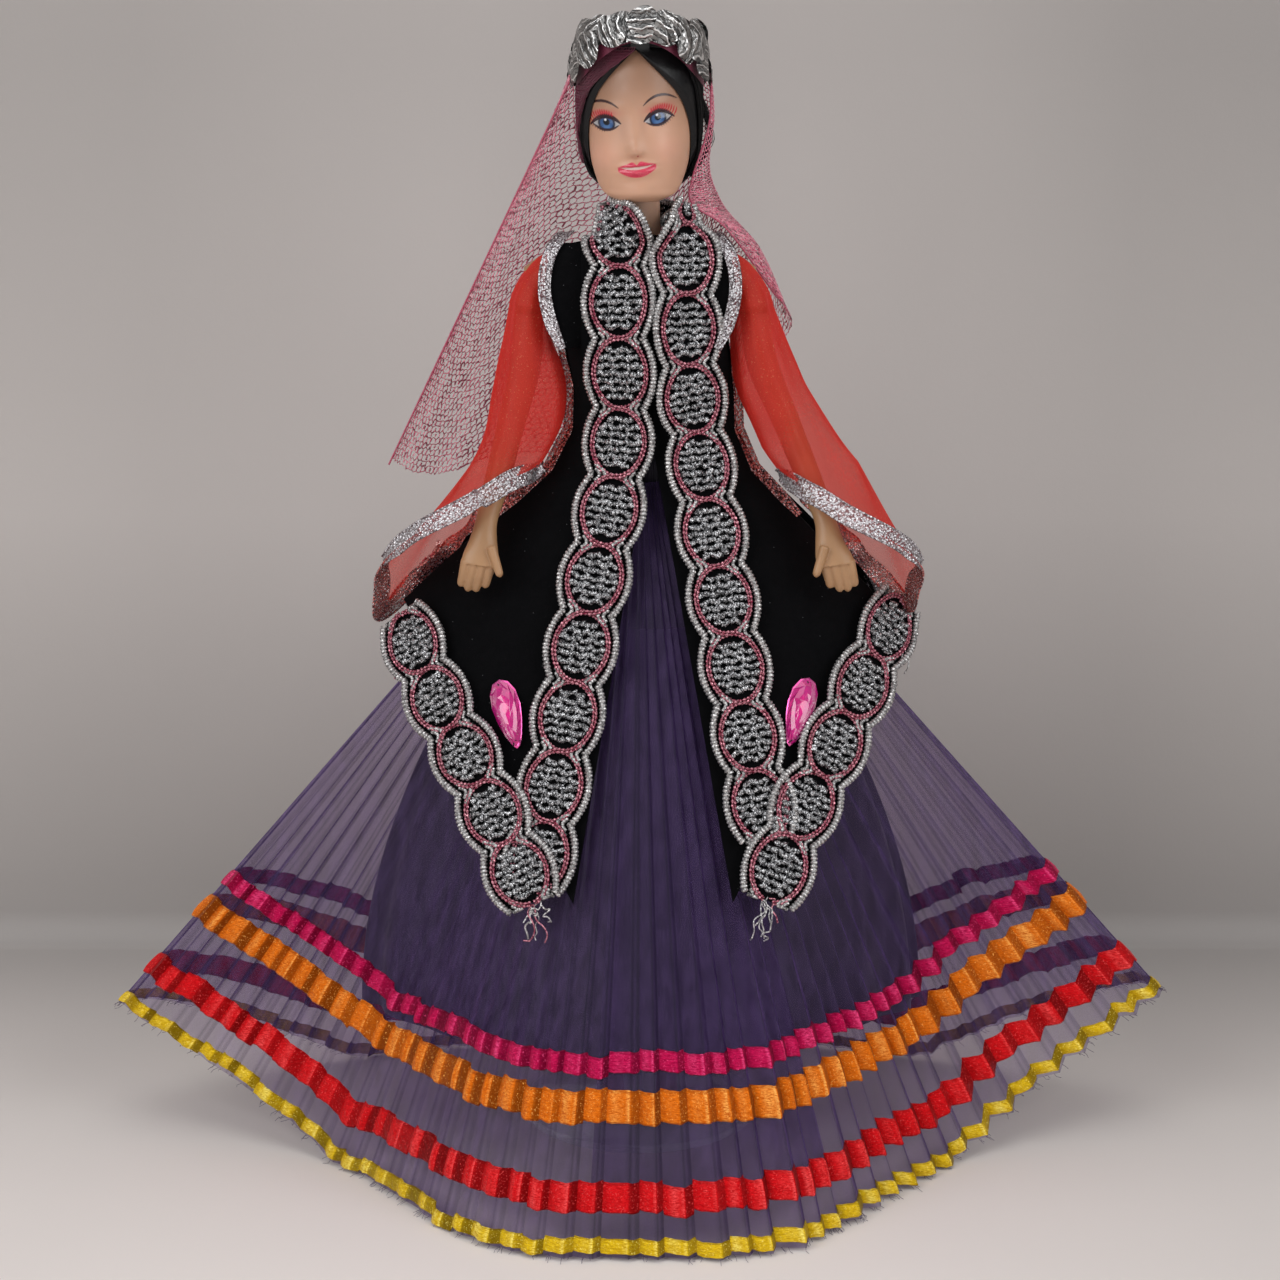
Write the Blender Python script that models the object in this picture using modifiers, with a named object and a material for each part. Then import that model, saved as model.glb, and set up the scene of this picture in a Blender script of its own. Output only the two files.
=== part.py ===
"""A costumed fashion doll in folk dress, on its clear display stand.

Blender 4.5. The scene is in metres, +Z up. Every length below is in millimetres and becomes
metres where a mesh is made. The doll faces -Y, so its own left side is at +X, and the origin
is on the floor under the middle of the stand.
"""

import math

import bmesh
import bpy
from mathutils import Vector

MM = 0.001

# ---------------------------------------------------------------- driving dimensions
HIP_Z = 151.0
SHOULDER_Z = 228.0
SHOULDER_X = 22.6
CROWN_Z = 289.0
HIP_X = 7.2
WAIST_Z = 177.5

GAP = 0.3
CLOTH = 0.6
WALL = 1.2

# Hem of the pleated skirt. The front bulges forward, the sides fan out flat and lift.
HEM_HALF_WIDTH = 140.0
HEM_SIDE_Y = -12.0
HEM_FRONT = 78.0
HEM_BACK = 62.0
BULGE_HALF_WIDTH = 68.0
HEM_FLOOR_Z = 1.0
HEM_LIFT_START = 82.0
HEM_LIFT_RIGHT = 0.60
HEM_LIFT_LEFT = 0.68
SKIRT_WAIST = (15.5, 12.5, 14.5)

# Each ribbon's start and end, as a share of the way from waist to hem.
RIBBONS = {
    "ribbon_magenta": (0.745, 0.772),
    "ribbon_orange": (0.793, 0.835),
    "ribbon_red": (0.905, 0.943),
    "ribbon_gold": (0.978, 0.997),
}

# Sections of the body: height, half-width, front depth, back depth.
TORSO = (
    (158.0, 13.6, 8.2, 8.9),
    (168.0, 13.4, 8.6, 9.0),
    (178.0, 11.3, 8.0, 7.8),
    (188.0, 10.0, 7.5, 7.0),
    (198.0, 11.5, 8.6, 7.5),
    (208.0, 13.8, 11.4, 8.0),
    (214.0, 15.3, 12.3, 8.0),
    (222.0, 17.5, 10.0, 8.0),
    (230.0, 18.6, 8.0, 7.0),
    (235.0, 15.5, 7.0, 6.2),
    (238.5, 6.2, 5.8, 5.8),
)
# The vest hangs looser at the doll's left, so its sections also hold the middle's place in x.
VEST = (
    (76.0, 88.0, 60.5, 46.0, 0.0),
    (110.0, 78.0, 45.0, 39.0, 0.0),
    (147.0, 68.0, 28.5, 29.0, 0.5),
    (163.0, 47.0, 22.0, 22.0, 1.5),
    (180.0, 26.5, 16.5, 17.5, 3.0),
    (190.0, 21.0, 13.8, 12.5, 3.5),
    (200.0, 20.3, 13.6, 10.8, 3.5),
    (214.0, 20.5, 15.2, 10.8, 1.2),
    (228.0, 22.0, 12.0, 10.6, 0.0),
    (235.0, 22.0, 10.0, 9.2, 0.0),
    (238.0, 17.0, 9.0, 8.6, 0.0),
    (240.0, 10.8, 8.2, 8.2, 0.0),
)
HEAD = (
    (247.0, 4.0, 12.2, -7.0),
    (249.0, 7.6, 13.6, -5.0),
    (251.0, 9.4, 14.0, 0.0),
    (254.0, 11.1, 14.3, 5.5),
    (258.0, 12.3, 14.4, 9.5),
    (264.0, 13.1, 14.2, 12.8),
    (270.0, 13.3, 14.0, 14.4),
    (276.0, 13.2, 13.6, 15.0),
    (282.0, 12.0, 12.0, 14.0),
    (286.0, 9.5, 9.0, 11.5),
    (288.2, 5.5, 5.0, 7.0),
)

# The hair's lower edge: degrees from the front, then height. A pointed arch, low at the nape.
HAIRLINE = (
    (0.0, 284.0), (28.0, 279.0), (57.0, 271.3), (75.0, 262.5), (90.0, 256.5), (120.0, 254.0), (180.0, 254.0),
)

# Stations down the arm and down its sleeve: x of the right and of the left arm, y, z, how far
# the ring leans outwards, then its half-widths.
ARM = (
    (27.6, 27.6, -0.4, 225.4, 0.80, 4.2, 4.9),
    (28.3, 29.2, -1.0, 219.0, 0.25, 3.8, 4.4),
    (28.8, 30.6, -3.5, 209.0, 0.30, 4.0, 4.3),
    (33.0, 37.8, -8.5, 191.0, 0.25, 3.5, 3.8),
    (36.8, 44.0, -16.0, 176.0, 0.15, 3.2, 3.5),
    (38.9, 47.0, -23.0, 168.0, 0.10, 2.9, 2.4),
    (39.6, 48.0, -25.6, 163.0, 0.12, 4.2, 2.1),
    (40.2, 49.2, -28.0, 158.5, 0.15, 4.9, 1.8),
    (41.6, 51.0, -29.0, 152.5, 0.20, 4.4, 1.4),
    (42.2, 51.8, -29.6, 150.0, 0.20, 3.0, 1.0),
)
SLEEVE = (
    (28.9, 28.9, -0.4, 224.0, 0.60, 6.0, 6.8),
    (29.3, 30.9, -2.0, 214.0, 0.25, 5.9, 7.2),
    (33.0, 38.2, -8.5, 191.0, 0.15, 8.6, 8.8),
    (39.4, 44.6, -14.5, 180.0, -0.10, 10.8, 9.4),
    (46.0, 49.8, -19.5, 171.0, -0.45, 15.0, 9.8),
    (52.0, 54.5, -24.0, 159.0, -1.08, 25.0, 10.2),
)

SKIN = ("doll_plastic", (0.57, 0.33, 0.21), 0.38, 0.0)
CLEAR = ("stand_plastic", (0.75, 0.77, 0.78), 0.15, 0.0)
HAIR = ("hair_nylon", (0.012, 0.010, 0.012), 0.35, 0.0)
SEQUIN = ("sequin_foil", (0.72, 0.73, 0.75), 0.22, 0.9)
VELVET = ("velvet", (0.006, 0.006, 0.008), 0.95, 0.0)
BRAID = ("braid_thread", (0.52, 0.50, 0.53), 0.38, 0.7)
TRIM = ("lace_trim", (0.60, 0.58, 0.58), 0.35, 0.7)
ORGANZA = ("organza", (0.075, 0.040, 0.170), 0.45, 0.0)
LINING = ("lining_cloth", (0.045, 0.018, 0.105), 0.60, 0.0)
CHIFFON = ("chiffon", (0.80, 0.10, 0.04), 0.45, 0.0)
TULLE = ("tulle", (0.32, 0.010, 0.09), 0.50, 0.0)
GEM = ("gem_acrylic", (0.60, 0.006, 0.20), 0.08, 0.0)
SATIN = {
    "ribbon_magenta": ("satin_magenta", (0.61, 0.010, 0.130), 0.32, 0.0),
    "ribbon_orange": ("satin_orange", (0.83, 0.190, 0.006), 0.32, 0.0),
    "ribbon_red": ("satin_red", (0.58, 0.008, 0.010), 0.32, 0.0),
    "ribbon_gold": ("satin_gold", (0.70, 0.440, 0.015), 0.32, 0.0),
}


# ---------------------------------------------------------------- scene and materials
def clear_scene():
    for thing in list(bpy.data.objects):
        bpy.data.objects.remove(thing)


def new_collection(name):
    collection = bpy.data.collections.new(name)
    bpy.context.scene.collection.children.link(collection)
    return collection


def material(spec):
    name, colour, roughness, metallic = spec
    made = bpy.data.materials.get(name)
    if made is None:
        made = bpy.data.materials.new(name)
        made.use_nodes = True
        shader = made.node_tree.nodes["Principled BSDF"]
        shader.inputs["Base Color"].default_value = (*colour, 1.0)
        shader.inputs["Roughness"].default_value = roughness
        shader.inputs["Metallic"].default_value = metallic
    return made


def add_part(name, bm, spec, pivot=(0, 0, 0), smooth=True):
    """Make an object from a bmesh in millimetres, with its origin at the pivot."""
    bmesh.ops.translate(bm, vec=-Vector(pivot), verts=bm.verts)
    bmesh.ops.scale(bm, vec=(MM, MM, MM), verts=bm.verts)
    bmesh.ops.recalc_face_normals(bm, faces=bm.faces)
    mesh = bpy.data.meshes.new(name)
    bm.to_mesh(mesh)
    bm.free()
    if smooth:
        mesh.shade_smooth()
        mesh.set_sharp_from_angle(angle=math.radians(40))
    mesh.materials.append(material(spec))
    part = bpy.data.objects.new(name, mesh)
    part.location = Vector(pivot) * MM
    parts.objects.link(part)
    return part


# ---------------------------------------------------------------- building helpers
def grid_faces(bm, rows, wrap):
    count = len(rows[0])
    columns = count if wrap else count - 1
    for upper, lower in zip(rows, rows[1:]):
        for i in range(columns):
            j = (i + 1) % count
            bm.faces.new((upper[i], upper[j], lower[j], lower[i]))


def sheet_between(name, inner, outer, spec, wrap, pivot=(0, 0, 0)):
    """Close the space between two grids of points, with rims on every free side."""
    bm = bmesh.new()
    inner = [[bm.verts.new(p) for p in row] for row in inner]
    outer = [[bm.verts.new(p) for p in row] for row in outer]
    grid_faces(bm, inner, wrap)
    grid_faces(bm, outer, wrap)
    for a, b in ((inner[0], outer[0]), (inner[-1], outer[-1])):
        grid_faces(bm, [a, b], wrap)
    if not wrap:
        for side in (0, -1):
            grid_faces(bm, [[row[side] for row in inner], [row[side] for row in outer]], False)
    return add_part(name, bm, spec, pivot)


def loft_mesh(rings):
    """Join rings of equal count into one closed skin, with a flat cap at each end."""
    bm = bmesh.new()
    rings = [[bm.verts.new(p) for p in ring] for ring in rings]
    grid_faces(bm, rings, True)
    bm.faces.new(rings[0])
    bm.faces.new(rings[-1])
    return bm


def closed_loft(name, rings, spec, pivot=(0, 0, 0)):
    return add_part(name, loft_mesh(rings), spec, pivot)


def limb_ring(centre, direction, across, along, count=16):
    """A ring round a limb: `across` is its half-width sideways, `along` front to back."""
    direction = Vector(direction).normalized()
    side = Vector((1, 0, 0))
    side = (side - direction * side.dot(direction)).normalized()
    depth = direction.cross(side)
    turns = [2 * math.pi * i / count for i in range(count)]
    return [Vector(centre) + side * across * math.cos(t) + depth * along * math.sin(t) for t in turns]


def cylinder(radius, depth, centre, axis, segments=32):
    bm = bmesh.new()
    turn = Vector((0, 0, 1)).rotation_difference(Vector(axis)).to_matrix().to_4x4()
    turn.translation = Vector(centre)
    bmesh.ops.create_cone(bm, cap_ends=True, segments=segments, radius1=radius, radius2=radius,
                          depth=depth, matrix=turn)
    return bm


def cut(part, name, bm, operation="DIFFERENCE"):
    """Subtract a closed shape from a part, or join it on."""
    cutter = add_part(name, bm, SKIN)
    parts.objects.unlink(cutter)
    cutters.objects.link(cutter)
    cutter.hide_render = True
    cutter.display_type = "WIRE"
    boolean = part.modifiers.new(name, "BOOLEAN")
    boolean.operation = operation
    boolean.object = cutter


def between(table, z):
    """Values of a table of sections at one height."""
    if z <= table[0][0]:
        return table[0][1:]
    for low, high in zip(table, table[1:]):
        if z <= high[0]:
            share = (z - low[0]) / (high[0] - low[0])
            return tuple(a + (b - a) * share for a, b in zip(low[1:], high[1:]))
    return table[-1][1:]


def section_point(table, z, turn, proud=0.0):
    """A point on a body section. `turn` is 0 at the front and 90 degrees at the doll's left."""
    width, front, back, *middle = between(table, z)
    depth = front if math.cos(turn) > 0 else back
    x = sum(middle) + (width + proud) * math.sin(turn)
    return Vector((x, -(depth + proud) * math.cos(turn), z))


def spread(first, last, steps):
    return [first + (last - first) * i / steps for i in range(steps + 1)]


def mix(a, b, share):
    return a + (b - a) * share


# ---------------------------------------------------------------- display stand
def build_stand():
    base = cylinder(32.0, 2.2, (0, 4, 1.1), (0, 0, 1), 48)
    part = add_part("stand_base", base, CLEAR)
    bevel = part.modifiers.new("rounded_rim", "BEVEL")
    bevel.width = 0.5 * MM
    bevel.segments = 2
    bevel.limit_method = "ANGLE"
    cut(part, "post_socket", cylinder(1.4, 1.6, (0, 11.2, 2.0), (0, 0, 1)))
    add_part("stand_post", cylinder(1.1, 165.7, (0, 11.2, 84.35), (0, 0, 1), 24), CLEAR)
    build_stand_clip()


def build_stand_clip():
    """A springy wire hoop, open at the front, that grips the doll's hips."""
    opening = math.radians(75)
    data = bpy.data.curves.new("stand_clip", "CURVE")
    data.dimensions = "3D"
    data.bevel_depth = 0.8 * MM
    data.bevel_resolution = 1
    data.use_fill_caps = True
    turns = spread(opening, 2 * math.pi - opening, 24)
    spline = data.splines.new("POLY")
    spline.points.add(len(turns) - 1)
    for point, turn in zip(spline.points, turns):
        point.co = (15.2 * MM * math.sin(turn), -10.9 * MM * math.cos(turn), 168.5 * MM, 1)
    data.materials.append(material(CLEAR))
    parts.objects.link(bpy.data.objects.new("stand_clip", data))


# ---------------------------------------------------------------- doll
def build_torso():
    """Two moulded half shells that meet at the side seams, open at the neck and the hips."""
    heights = [row[0] for row in TORSO]
    seam = math.radians(1.2)
    for name, start in (("torso_front", -math.pi / 2), ("torso_back", math.pi / 2)):
        turns = spread(start + seam, start + math.pi - seam, 12)
        inner = [[section_point(TORSO, z, t, -WALL) for t in turns] for z in heights]
        outer = [[section_point(TORSO, z, t) for t in turns] for z in heights]
        part = sheet_between(name, inner, outer, SKIN, wrap=False)
        cut(part, name + "_shoulder_holes", cylinder(3.2, 60, (0, 0, SHOULDER_Z), (1, 0, 0), 16))


def build_neck():
    """The neck with the knob that the head snaps on."""
    profile = ((0.0, 258.6), (2.6, 258.2), (4.2, 256.2), (4.2, 254.6), (2.5, 252.6), (2.5, 248.0),
               (4.0, 247.2), (4.3, 246.0), (4.3, 232.0), (0.0, 232.0))
    mesh = bpy.data.meshes.new("neck")
    mesh.from_pydata([(r * MM, 0, z * MM) for r, z in profile],
                     [(i, i + 1) for i in range(len(profile) - 1)], [])
    mesh.materials.append(material(SKIN))
    part = bpy.data.objects.new("neck", mesh)
    parts.objects.link(part)
    screw = part.modifiers.new("turned", "SCREW")
    screw.steps = 20
    screw.render_steps = 20
    screw.use_merge_vertices = True
    screw.merge_threshold = 0.00001
    screw.use_smooth_shade = True


def head_point(z, turn, proud=0.0):
    """A point on the head, whose sections are off-centre front to back."""
    width, front, back = between(HEAD, z)
    middle, depth = (back - front) / 2, (back + front) / 2
    return Vector(((width + proud) * math.sin(turn), middle - (depth + proud) * math.cos(turn), z))


def build_head():
    turns = [2 * math.pi * i / 24 for i in range(24)]
    heights = [row[0] for row in HEAD]
    part = closed_loft("head", [[head_point(z, t) for t in turns] for z in heights], SKIN)
    room = ((240.0, 3.3), (251.6, 3.3), (253.2, 5.4), (259.6, 5.4), (261.0, 3.6))
    cut(part, "knob_room", loft_mesh([limb_ring((0, 0, z), (0, 0, 1), r, r, 24) for z, r in room]))


def hairline(turn):
    """Height of the hair's lower edge at a turn from the front."""
    away = math.degrees(math.acos(math.cos(turn)))
    return between(HAIRLINE, away)[0]


def build_hair():
    turns = [2 * math.pi * i / 24 for i in range(24)]
    shares = spread(0, 1, 6)
    inner = [[head_point(mix(hairline(t), CROWN_Z - 1.2, s), t, 1.4) for t in turns] for s in shares]
    outer = [[head_point(mix(hairline(t), CROWN_Z - 1.2, s), t, 2.6) for t in turns] for s in shares]
    lift = Vector((0, 0, 1.4))
    for i, share in enumerate(shares):
        outer[i] = [p + lift * share ** 3 for p in outer[i]]
        inner[i] = [p + lift * 0.25 * share ** 3 for p in inner[i]]
    sheet_between("hair", inner, outer, HAIR, wrap=True)


def build_headband():
    """The sequinned band: its lower edge arches up over the forehead."""
    turns = [2 * math.pi * i / 28 for i in range(28)]
    inner, outer = [], []
    for share in spread(0, 1, 3):
        heights = [mix(274.5 + 8.5 * max(0, math.cos(t)) ** 4, 291.5, share) for t in turns]
        inner.append([head_point(276, t, 2.9).xy.to_3d() + Vector((0, 0, z)) for t, z in zip(turns, heights)])
        outer.append([head_point(276, t, 4.0).xy.to_3d() + Vector((0, 0, z)) for t, z in zip(turns, heights)])
    sheet_between("headband", inner, outer, SEQUIN, wrap=True)


def arm_rings(stations, side, count=16):
    """Rings down an arm or a sleeve. Each station gives x for the right and for the left arm."""
    rings = []
    for x_right, x_left, y, z, lean, across, along in stations:
        x = x_left if side > 0 else x_right
        ring = limb_ring((x, y, z), (lean, -0.2, -1), across, along, count)
        rings.append([Vector((p.x * side, p.y, p.z)) for p in ring])
    return rings


def shoulder_rings(side, turned, count=16):
    """Upright rings round the shoulder's own axis, which keep clear of the vest at any turn."""
    rings = []
    for x, z, across, along in turned:
        ring = limb_ring((x, 0, SHOULDER_Z + z), (1, 0, -0.01), across, along, count)
        rings.append([Vector((p.x * side, p.y, p.z)) for p in ring])
    return rings


def build_arm(name, side):
    """One moulded arm, from the shoulder disc and its peg to the fingertips."""
    pivot = (side * SHOULDER_X, 0, SHOULDER_Z)
    rings = shoulder_rings(side, ((SHOULDER_X, 0, 5.2, 5.2), (SHOULDER_X + 1.5, 0, 5.4, 5.4)))
    rings += arm_rings(ARM, side)
    arm = closed_loft(name, rings, SKIN, pivot)
    cut(arm, name + "_peg", cylinder(2.9, 9.0, (side * 19.5, 0, SHOULDER_Z), (1, 0, 0)), "UNION")


def build_leg(name, side):
    """One moulded leg: a ball at the hip, a straight leg and a pointed foot."""
    stations = (
        (HIP_Z + 5.6, 0.0, 3.0, 3.0), (HIP_Z + 4.0, 0.0, 4.9, 5.0), (HIP_Z, 0.0, 6.3, 6.5),
        (130.0, 0.0, 6.0, 6.8), (110.0, 0.0, 5.2, 5.9), (92.0, -0.3, 4.3, 4.8), (84.0, -0.3, 4.2, 4.8),
        (66.0, 0.8, 4.3, 5.4), (45.0, 0.8, 3.4, 4.2), (24.0, 0.3, 2.5, 3.0), (15.0, 0.2, 2.6, 3.3),
    )
    rings = [limb_ring((side * HIP_X, y, z), (0, 0, -1), a, b) for z, y, a, b in stations]
    foot = (((10.0, -2.6), (0, -0.8, -1), 2.8, 4.0), ((6.6, -7.0), (0, -1, -0.9), 3.1, 2.9),
            ((4.9, -10.8), (0, -1, -0.5), 3.3, 1.8), ((3.9, -14.0), (0, -1, -0.1), 2.3, 0.9))
    rings += [limb_ring((side * HIP_X, y, z), d, a, b) for (z, y), d, a, b in foot]
    leg = closed_loft(name, rings, SKIN, (side * HIP_X, 0, HIP_Z))
    cut(leg, name + "_pin_hole", cylinder(1.5, 20, (side * HIP_X, 0, HIP_Z), (1, 0, 0)))


def build_hip_pin():
    add_part("hip_pin", cylinder(1.1, 25.0, (0, 0, HIP_Z), (1, 0, 0), 24), CLEAR)
    plate = bmesh.new()
    bmesh.ops.create_cube(plate, size=1.0)
    bmesh.ops.scale(plate, vec=(1.0, 7.0, 17.0), verts=plate.verts)
    bmesh.ops.translate(plate, vec=(0, 0, HIP_Z + 5.0), verts=plate.verts)
    keel = add_part("hip_keel", plate, SKIN, smooth=False)
    cut(keel, "keel_pin_hole", cylinder(1.4, 4, (0, 0, HIP_Z), (1, 0, 0)))


# ---------------------------------------------------------------- skirt
def hem_point(turn):
    """The hem's outline on and above the floor."""
    x = HEM_HALF_WIDTH * math.sin(turn)
    if math.cos(turn) > 0:
        bulge = 1 / (1 + (abs(x) / BULGE_HALF_WIDTH) ** 4)
        edge = 1 / (1 + (HEM_HALF_WIDTH / BULGE_HALF_WIDTH) ** 4)
        y = HEM_SIDE_Y - HEM_FRONT * (bulge - edge) / (1 - edge)
    else:
        y = HEM_SIDE_Y + HEM_BACK * abs(math.cos(turn)) ** 1.2
    lift = HEM_LIFT_LEFT if x > 0 else HEM_LIFT_RIGHT
    return Vector((x, y, HEM_FLOOR_Z + lift * max(0.0, abs(x) - HEM_LIFT_START)))


def waist_point(turn):
    width, front, back = SKIRT_WAIST
    depth = front if math.cos(turn) > 0 else back
    return Vector((width * math.sin(turn), -depth * math.cos(turn), WAIST_Z))


def skirt_point(turn, share, proud=0.0):
    """A point on the skirt, `share` of the way down, moved outwards on the level by `proud`."""
    ahead = waist_point(turn + 0.01).lerp(hem_point(turn + 0.01), share)
    behind = waist_point(turn - 0.01).lerp(hem_point(turn - 0.01), share)
    outwards = Vector((ahead.y - behind.y, behind.x - ahead.x, 0)).normalized()
    return waist_point(turn).lerp(hem_point(turn), share) + outwards * proud


def skirt_band(name, top, bottom, inside, outside, steps, spec):
    turns = [2 * math.pi * i / 72 for i in range(72)]
    shares = spread(top, bottom, steps)
    inner = [[skirt_point(t, s, inside) for t in turns] for s in shares]
    outer = [[skirt_point(t, s, outside) for t in turns] for s in shares]
    return sheet_between(name, inner, outer, spec, wrap=True)


def build_skirt():
    skirt_band("skirt", 0.0, 1.0, -CLOTH, 0.0, 5, ORGANZA)
    for name, (top, bottom) in RIBBONS.items():
        skirt_band(name, top, bottom, GAP, GAP + CLOTH, 1, SATIN[name])
    width, front, back = SKIRT_WAIST
    turns = [2 * math.pi * i / 32 for i in range(32)]
    band = []
    for proud in (-1.5, -0.4):
        band.append([[Vector(((width + proud) * math.sin(t),
                              -((front if math.cos(t) > 0 else back) + proud) * math.cos(t), z))
                      for t in turns] for z in (WAIST_Z + GAP, WAIST_Z + 6.0)])
    sheet_between("waistband", band[0], band[1], ORGANZA, wrap=True)


def lining_point(turn, share, proud):
    """A bell that fills out quickly at the sides, with a front narrower than an ellipse."""
    width = 13.6 + 61.0 * math.sin(math.pi / 2 * share) + proud
    z = mix(WAIST_Z - 0.5, 33.0, share)
    if math.cos(turn) > 0:
        narrowed = (1 - abs(math.sin(turn)) ** 1.4) ** (1 / 1.4)
        return Vector((width * math.sin(turn), -(11.0 + 38.0 * share + proud) * narrowed, z))
    return Vector((width * math.sin(turn), -(13.0 + 19.0 * share + proud) * math.cos(turn), z))


def build_lining():
    turns = [2 * math.pi * i / 32 for i in range(32)]
    shares = spread(0, 1, 5)
    inner = [[lining_point(t, s, -CLOTH) for t in turns] for s in shares]
    outer = [[lining_point(t, s, 0.0) for t in turns] for s in shares]
    sheet_between("lining", inner, outer, LINING, wrap=True)


# ---------------------------------------------------------------- vest and blouse
def build_blouse():
    turns = [2 * math.pi * i / 24 for i in range(24)]
    heights = (185.0, 192.0, 200.0, 208.0, 214.0, 222.0, 230.0, 235.0, 237.6)
    inner = [[section_point(TORSO, z, t, 0.5) for t in turns] for z in heights]
    outer = [[section_point(TORSO, z, t, 1.1) for t in turns] for z in heights]
    part = sheet_between("blouse", inner, outer, CHIFFON, wrap=True)
    cut(part, "sleeve_holes", cylinder(6.4, 60, (0, 0, SHOULDER_Z), (1, 0, 0)))


def vest_edge(z):
    """How far round from the front the side edge of a front panel is, in degrees."""
    if z > 213:
        return 88 - 16 * math.sin(math.pi * min(1, (z - 213) / 22)) - 12 * (z - 213) / 27
    return mix(64, 88, max(0.0, (z - 147) / 66)) if z > 147 else 64


def vest_x(side, z):
    """Where a front panel's inner edge lies: beside the middle, then parting below the waist."""
    middle = 3.0
    parting = max(0.0, 187 - z) / 109
    return middle + side * 0.3 + (parting * (20.0 if side > 0 else -19.5))


def vest_surface(x, z, proud):
    """The point of the vest's front at x and z, `proud` millimetres off it."""
    width, _, _, middle = between(VEST, z)
    turn = math.asin(max(-0.999, min(0.999, (x - middle) / (width + proud))))
    return section_point(VEST, z, turn, proud)


def vest_row(side, share, steps, proud):
    """One row of a front panel, from its side edge to its inner edge."""
    outer_z = mix(235.5, 147.0, share)
    inner_z = mix(239.6, 80.0, share)
    outer_x = section_point(VEST, outer_z, side * math.radians(vest_edge(outer_z))).x
    return [vest_surface(mix(outer_x, vest_x(side, inner_z), u), mix(outer_z, inner_z, u), proud)
            for u in spread(0, 1, steps)]


def build_vest():
    shares = spread(0, 1, 14)
    for name, side in (("vest_front_left", 1), ("vest_front_right", -1)):
        inner = [vest_row(side, s, 6, 0.0) for s in shares]
        outer = [vest_row(side, s, 6, 0.8) for s in shares]
        sheet_between(name, inner, outer, VELVET, wrap=False)
    sheet_between("vest_back", back_rows(0.0), back_rows(0.8), VELVET, wrap=False)


def back_rows(proud):
    rows = []
    for share in spread(0, 1, 12):
        row = []
        for u in spread(-1, 1, 12):
            z = mix(mix(239.0, 235.5, abs(u)), mix(112.0, 147.0, u * u), share)
            turn = math.pi + u * math.radians(vest_edge(z))
            row.append(section_point(VEST, z, turn, proud))
        rows.append(row)
    return rows


def braid(name, start, end, steps, low, high, pitch=18.0, half=7.6):
    """A scalloped braid laid on the vest along a line of (x, z) points."""
    legs = list(zip(start, start[1:] + (end,)))
    inner, outer = [], []
    walked = 0.0
    for (x0, z0), (x1, z1) in legs:
        length = math.hypot(x1 - x0, z1 - z0)
        ux, uz = (x1 - x0) / length, (z1 - z0) / length
        count = max(2, round(length / steps))
        for share in spread(0, 1, count)[(1 if inner else 0):]:
            reach = half - 1.6 * (1 - abs(math.cos(math.pi * (walked + share * length) / pitch)))
            line = [(x0 + ux * share * length + uz * r * reach, z0 + uz * share * length - ux * r * reach)
                    for r in (-1.0, 0.0, 1.0)]
            inner.append([vest_surface(x, z, low) for x, z in line])
            outer.append([vest_surface(x, z, high) for x, z in line])
        walked += length
    sheet_between(name, inner, outer, BRAID, wrap=False)


def build_braids():
    braid("braid_front_right", ((-5.2, 238.0), (-5.2, 187.0)), (-25.0, 80.0), 4.5, 3.0, 4.2)
    braid("braid_front_left", ((11.2, 234.0), (11.8, 205.0), (14.0, 183.0)), (30.5, 80.0), 4.5, 3.0, 4.2)
    braid("braid_hem_right", ((-57.0, 139.5),), (-25.0, 88.0), 4.5, 1.4, 2.6)
    braid("braid_hem_left", ((61.0, 139.5),), (31.0, 88.0), 4.5, 1.4, 2.6)
    rows = [[], []]
    for share in spread(0, 1, 3):
        for layer, proud in zip(rows, (1.5, 2.7)):
            line = []
            for u in spread(-0.96, 0.96, 28):
                z = mix(112.0, 147.0, u * u) + mix(15.0, 1.0, share)
                line.append(section_point(VEST, z, math.pi + u * math.radians(vest_edge(z)), proud))
            layer.append(line)
    sheet_between("braid_hem_back", rows[0], rows[1], BRAID, wrap=False)
    build_collar()


def build_collar():
    """The stand-up end of the braid, round the back of the neck and open at the throat."""
    turns = spread(math.radians(32), math.radians(328), 24)
    inner, outer = [], []
    for z, radius in ((240.8, 8.6), (243.0, 9.3), (245.4, 10.2)):
        inner.append([Vector((radius * math.sin(t), -radius * math.cos(t), z)) for t in turns])
        outer.append([Vector(((radius + 1) * math.sin(t), -(radius + 1) * math.cos(t), z)) for t in turns])
    sheet_between("braid_collar", inner, outer, BRAID, wrap=False)


def trim_tube(name, points, radius, spec):
    data = bpy.data.curves.new(name, "CURVE")
    data.dimensions = "3D"
    data.bevel_depth = radius * MM
    data.bevel_resolution = 1
    data.use_fill_caps = True
    spline = data.splines.new("POLY")
    spline.points.add(len(points) - 1)
    for point, place in zip(spline.points, points):
        point.co = (*(place * MM), 1)
    data.materials.append(material(spec))
    parts.objects.link(bpy.data.objects.new(name, data))


def build_trims():
    for label, side in (("left", 1), ("right", -1)):
        heights = spread(235.0, 214.5, 8)
        front = [section_point(VEST, z, side * math.radians(vest_edge(z) - 10), 2.3) for z in heights]
        back = [section_point(VEST, z, math.pi - side * math.radians(vest_edge(z) - 10), 2.3) for z in heights]
        trim_tube("armhole_trim_" + label, front + back[::-1], 0.8, TRIM)
        heights = spread(211.0, 168.0, 12)
        seam = [section_point(VEST, z, side * math.radians(vest_edge(z) - 2), 2.1) for z in heights]
        trim_tube("side_trim_" + label, seam, 0.8, TRIM)


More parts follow.
